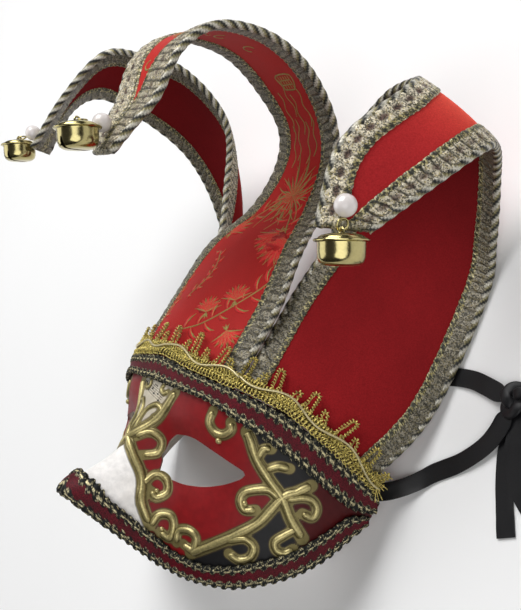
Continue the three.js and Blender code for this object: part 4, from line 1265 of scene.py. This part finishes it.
def hanging(side, sizes):
    """The centre of a pearl, the eye of its bell's loop, the bell's axis, the way its ring pulls and the
    way through that loop, as the solids have them."""
    placed = BELLS[side]
    across, up = placed["pearl"]
    seat, normal = horn(side, np.array([across]), np.array([up]))
    pearl = seat[0] - normal[0] * (HORN_BRAID_THICK / 2 + GAP + 1000 * sizes.pearl_radius)
    upright = unit(np.array(placed["up"]))
    eye = np.array(placed["bell"], float) + upright * (BELL_HEIGHT / 2 + LOOP_RISE)
    pull = unit(pearl - eye)
    return pearl, eye, upright, pull, unit(np.cross(upright, pull))


def wire_ring(centre, radius, one_way, other_way, wire):
    """A closed ring of wire: a circle in the plane of two unit directions."""
    turn = turns(40)[:, None]
    return thread(centre + radius * (np.cos(turn) * one_way + np.sin(turn) * other_way), wire, 8, closed=True)


class MASK_OT_bells(bpy.types.Operator):
    """Three pressed brass bells with a rolled flange and a slit, their loops and jump rings"""

    bl_idname = "mask.bells"
    bl_label = "Bells"

    def execute(self, context):
        material = finish("Bright brass", (0.45, 0.39, 0.18), 900, 0.93, 1.05, Metallic=1.0, Roughness=0.2)
        for side in BELLS:
            _, eye, upright, pull, through = hanging(side, context.scene.mask_sizes)
            across = np.cross(upright, through)
            turn = math.radians(BELLS[side]["slit"])
            bell = pressed_bell(BELLS[side]["bell"], upright, math.cos(turn) * across - math.sin(turn) * through)
            body = joined([bell, wire_ring(eye, LOOP_RADIUS, across, upright, LOOP_WIRE)])
            make_piece(side + "_brass_bell", "brass", [side + "_bell"], material, *body, sharp=35)
            ring = wire_ring(eye + pull * RING_RADIUS, RING_RADIUS, pull, through, RING_WIRE)
            make_piece(side + "_jump_ring", "brass", [side + "_ring"], material, *ring)
        return {"FINISHED"}


def pressed_bell(centre, axis, across):
    """A bell as half a skin either side of its slit: rings of the profile round the axis, whose points
    near the slit are drawn back to its edges below the middle."""
    h = BELL_HEIGHT / 2
    outside = [
        (0.3, -h), (4.6, -0.99 * h), (7, -0.93 * h), (8.5, -0.76 * h), (9.1, -0.5 * h), (9.3, -0.15 * h),
        (9.3, 0.32 * h), (9.4, 0.44 * h), (10.3, 0.47 * h), (10.75, 0.52 * h), (10.8, 0.58 * h), (10.5, 0.64 * h),
        (9.5, 0.67 * h), (9.0, 0.7 * h), (8.7, 0.78 * h), (7.6, 0.88 * h), (5.2, 0.965 * h), (2.6, h), (0.3, 1.01 * h),
    ]
    inside = [
        (min(max(r - BELL_WALL, 0.3), 8.6), y - math.copysign(BELL_WALL, y) * (r < 8.9)) for r, y in outside
    ]
    sides = 72
    third = np.cross(axis, across)
    around = turns(sides) + np.pi / sides

    def skin(outline):
        r, y = np.array(outline, float).T
        x = r[:, None] * np.cos(around)
        z = r[:, None] * np.sin(around)
        low = (y < -0.45 * h)[:, None]
        z = np.where(low & (np.abs(z) < SLIT_HALF), np.where(z > 0, SLIT_HALF, -SLIT_HALF), z)
        return (centre + x[..., None] * across + y[:, None, None] * axis + z[..., None] * third).reshape(-1, 3)

    quads = grid_quads(len(outside), sides, round_columns=True)
    row, column = np.divmod(quads[:, 0], sides)
    spans = ((column == sides // 2 - 1) | (column == sides - 1)) & (np.array(outside)[row, 1] < -0.45 * h)
    return closed_sheet(skin(outside), skin(inside), quads[~spans])


class MASK_OT_pearls(bpy.types.Operator):
    """Three imitation pearls"""

    bl_idname = "mask.pearls"
    bl_label = "Pearls"

    def execute(self, context):
        sizes = context.scene.mask_sizes
        material = finish("Pearl", (0.74, 0.69, 0.67), 120, 0.94, 1.04, Roughness=0.22, Coat_Weight=0.6,
                          Coat_Roughness=0.08, Sheen_Weight=0.25, Sheen_Tint=(0.9, 0.75, 0.9, 1))
        for side in BELLS:
            bead = ball(hanging(side, sizes)[0], 1000 * sizes.pearl_radius, 28)
            make_piece(side + "_pearl_bead", "pearl", [side + "_pearl"], material, *bead)
        return {"FINISHED"}


# ---- ribbons


def ribbon_line(route, count):
    """Points evenly along the smooth line through a route, and its length."""
    fine = along(route, shares(2000))
    run = travelled(fine)
    at = np.linspace(0, run[-1], count)
    return np.stack([np.interp(at, run, fine[:, k]) for k in range(3)], -1), run[-1]


def ribbon_mesh(line, width, gathered):
    """A flat strip along a line, level across its width, with a hair of cupping: z falls by w^2, and its
    edges lift a little in turn. Over its last 9 mm at the knot it is drawn together to under half."""
    ahead = unit(np.gradient(line, axis=0))
    side = unit(np.cross([0.0, 0.0, 1.0], ahead))
    over = np.cross(ahead, side)
    run = travelled(line)
    from_knot = run[-1] - run if gathered == "end" else run
    width = width * (0.42 + 0.58 * smooth(1, 9, from_knot))[:, None]
    w = np.linspace(-1, 1, 9)[None]
    lift = 0.12 * (1 - w**2) + 0.35 * np.abs(w) ** 3 * smooth(-0.2, 1, np.sin(run[:, None] / 6 + 1.4 * np.sign(w)))
    top, bottom = (
        rings(line, side, over, w * width / 2, lift + face * RIBBON_THICK / 2).reshape(-1, 3) for face in (1, -1)
    )
    return closed_sheet(top, bottom, grid_quads(len(line), w.shape[1]))


def knot_mesh(count):
    """The knot: a folded ribbon, a flattened oval across it that is wide in plan, along the trefoil
    (2 + cos 1.5t) cos t, (2 + cos 1.5t) sin t, sin 1.5t, as the knot's solid has it."""
    t = np.arange(count) * 4 * np.pi / count
    out = 2 + np.cos(1.5 * t)
    trefoil = np.stack([out * np.cos(t), out * np.sin(t), KNOT_FLAT * np.sin(1.5 * t)], -1)
    line = KNOT_RADIUS / 2 * trefoil + KNOT_AT
    side, over = frames(line, closed=True)
    x, y = np.cos(turns(16)), np.sin(turns(16))
    wide = 2.5 * np.sign(x) * np.abs(x) ** 0.8
    return tube(rings(line, unit(side * [1, 1, 0.25]), over, wide, 0.75 * y), closed=True)


class MASK_OT_ribbons(bpy.types.Operator):
    """The black satin ties, their knot and their cut ends"""

    bl_idname = "mask.ribbons"
    bl_label = "Ribbons"

    def execute(self, context):
        width = 1000 * context.scene.mask_sizes.ribbon_width
        satin = finish("Black satin", (0.006, 0.006, 0.007), 1500, 0.7, 1.3, bump=0.1, bump_depth=0.0001,
                       Roughness=0.42, Sheen_Weight=0.05, Specular_IOR_Level=0.25)
        knot = make_piece("satin_knot", "satin", ["ribbon_knot"], satin, *knot_mesh(240), in_frame=True)
        ties = [
            ("right_tie", RIGHT_RIBBON_ROUTE, "right_ribbon", "knot", [knot]),
            ("left_tie", LEFT_RIBBON_ROUTE, "left_ribbon", "knot", []),
            ("right_tie_end", RIGHT_END_ROUTE, "right_ribbon_end", "bare", []),
            ("left_tie_end", LEFT_END_ROUTE, "left_ribbon_end", "bare", []),
        ]
        for name, route, node, far_end, pieces in ties:
            loose = far_end == "bare"
            mouth = np.array(route[0] if loose else route[-1], float)
            inside = [tuple(mouth + IN_KNOT * unit(np.array(KNOT_AT) - mouth))]
            line, length = ribbon_line(inside + route if loose else route + inside, 140)
            strip = ribbon_mesh(line, width, "start" if loose else "end")
            piece = make_piece(name, "satin", [node], satin, *strip, sharp=FOLD, in_frame=True)
        return {"FINISHED"}


# ---- the stage


def sweep_finish():
    """A pale floor that stays as bright far away, where the lamps don't reach: it gives off light of its
    own that rises with the distance from the middle between 0.8 and 2.2 metres."""
    material, tree, principled = shader("Pale floor", Roughness=0.9, Emission_Color=(1, 1, 1, 1))
    varied_colour(tree, principled, (0.86, 0.86, 0.86), 3, 0.99, 1.01)
    away = add_node(tree, "VectorMath", {0: object_place(tree)}, operation="LENGTH").outputs["Value"]
    fill(principled, {"Emission Strength": remapped(tree, away, 0.8, 2.2, 0, 0.82)})
    return material


class MASK_OT_stage(bpy.types.Operator):
    """Floor, soft lights and the camera"""

    bl_idname = "mask.stage"
    bl_label = "Stage"

    def execute(self, context):
        mesh = bpy.data.meshes.new("floor")
        corners = [(x, y, -0.0002) for x, y in ((-14, -14), (14, -14), (14, 14), (-14, 14))]
        mesh.from_pydata(corners, [], [(0, 1, 2, 3)])
        mesh.materials.append(sweep_finish())
        add_object("floor", mesh)
        for name, offset, size, power in (
            ("key", (-0.2, 0.95, 1.15), 1.1, 26), ("fill", (1.1, -0.5, 0.9), 1.2, 10), ("side", (-1.1, -0.3, 0.8), 1, 5)
        ):
            data = bpy.data.lights.new(name, "AREA")
            data.size = size
            data.energy = power
            lamp = add_object(name, data)
            lamp.location = Vector(laid(CAMERA_TARGET)) + Vector(offset)
            lamp.rotation_euler = (-Vector(offset)).to_track_quat("-Z", "Y").to_euler()
        world = bpy.data.worlds.new("Soft white")
        world.use_nodes = True
        tree = world.node_tree
        direction = add_node(tree, "TexCoord").outputs["Generated"]
        height = add_node(tree, "SeparateXYZ", {"Vector": direction}).outputs["Z"]
        fill(tree.nodes["Background"], {"Strength": remapped(tree, height, 0.05, 0.75, 0.28, 1)})
        context.scene.world = world
        context.scene.view_settings.view_transform = "Standard"
        add_camera(context)
        return {"FINISHED"}


def add_camera(context):
    """The camera: it looks from 54.9 degrees round the face, rolled 10.4 degrees, at the photograph's
    distance, and its lens gives the focal length in pixels."""
    upright = np.array([0.0, 1.0, 0.0])
    back = np.array([math.sin(CAMERA_AZIMUTH), 0, math.cos(CAMERA_AZIMUTH)])
    level = np.cross(upright, back)
    right = level * math.cos(CAMERA_ROLL) + upright * math.sin(CAMERA_ROLL)
    up = upright * math.cos(CAMERA_ROLL) - level * math.sin(CAMERA_ROLL)
    place = CAMERA_TARGET + CAMERA_SLIDE[0] * right + CAMERA_SLIDE[1] * up + CAMERA_DISTANCE * back
    axes = [laid(way * 1000) - laid(np.zeros(3)) for way in (right, up, back)]
    data = bpy.data.cameras.new("camera")
    data.sensor_fit = "AUTO"
    data.sensor_width = SENSOR
    data.lens = SENSOR * FOCAL_PIXELS / max(IMAGE_SIZE)
    data.clip_start, data.clip_end = 0.01, 20
    camera = add_object("camera", data)
    camera.matrix_world = Matrix([*np.column_stack([*axes, laid(place)]).tolist(), [0, 0, 0, 1]])
    context.scene.camera = camera


class MASK_PT_panel(bpy.types.Panel):
    """The steps of the mask, in the sidebar"""

    bl_idname = "MASK_PT_panel"
    bl_label = "Jester half mask"
    bl_space_type = "VIEW_3D"
    bl_region_type = "UI"
    bl_category = "Mask"

    def draw(self, context):
        for group in (context.scene.mask_colours, context.scene.mask_sizes):
            for name in group.__annotations__:
                self.layout.prop(group, name)
        for operator in OPERATORS:
            self.layout.operator(operator.bl_idname)


OPERATORS = (
    MASK_OT_stage, MASK_OT_ribbons, MASK_OT_face, MASK_OT_gilding, MASK_OT_gimp, MASK_OT_lace,
    MASK_OT_horns, MASK_OT_horn_braids, MASK_OT_bells, MASK_OT_pearls,
)
CLASSES = (MaskColours, MaskSizes, *OPERATORS, MASK_PT_panel)


def register():
    """Registers the classes and hangs the settings on the scene."""
    for cls in CLASSES:
        bpy.utils.register_class(cls)
    bpy.types.Scene.mask_colours = PointerProperty(type=MaskColours)
    bpy.types.Scene.mask_sizes = PointerProperty(type=MaskSizes)


def unregister():
    """Takes the settings and the classes away again."""
    del bpy.types.Scene.mask_sizes
    del bpy.types.Scene.mask_colours
    for cls in reversed(CLASSES):
        bpy.utils.unregister_class(cls)


def main():
    register()
    for operator in OPERATORS:
        getattr(bpy.ops.mask, operator.bl_idname.removeprefix("mask."))()


if __name__ == "__main__":
    main()
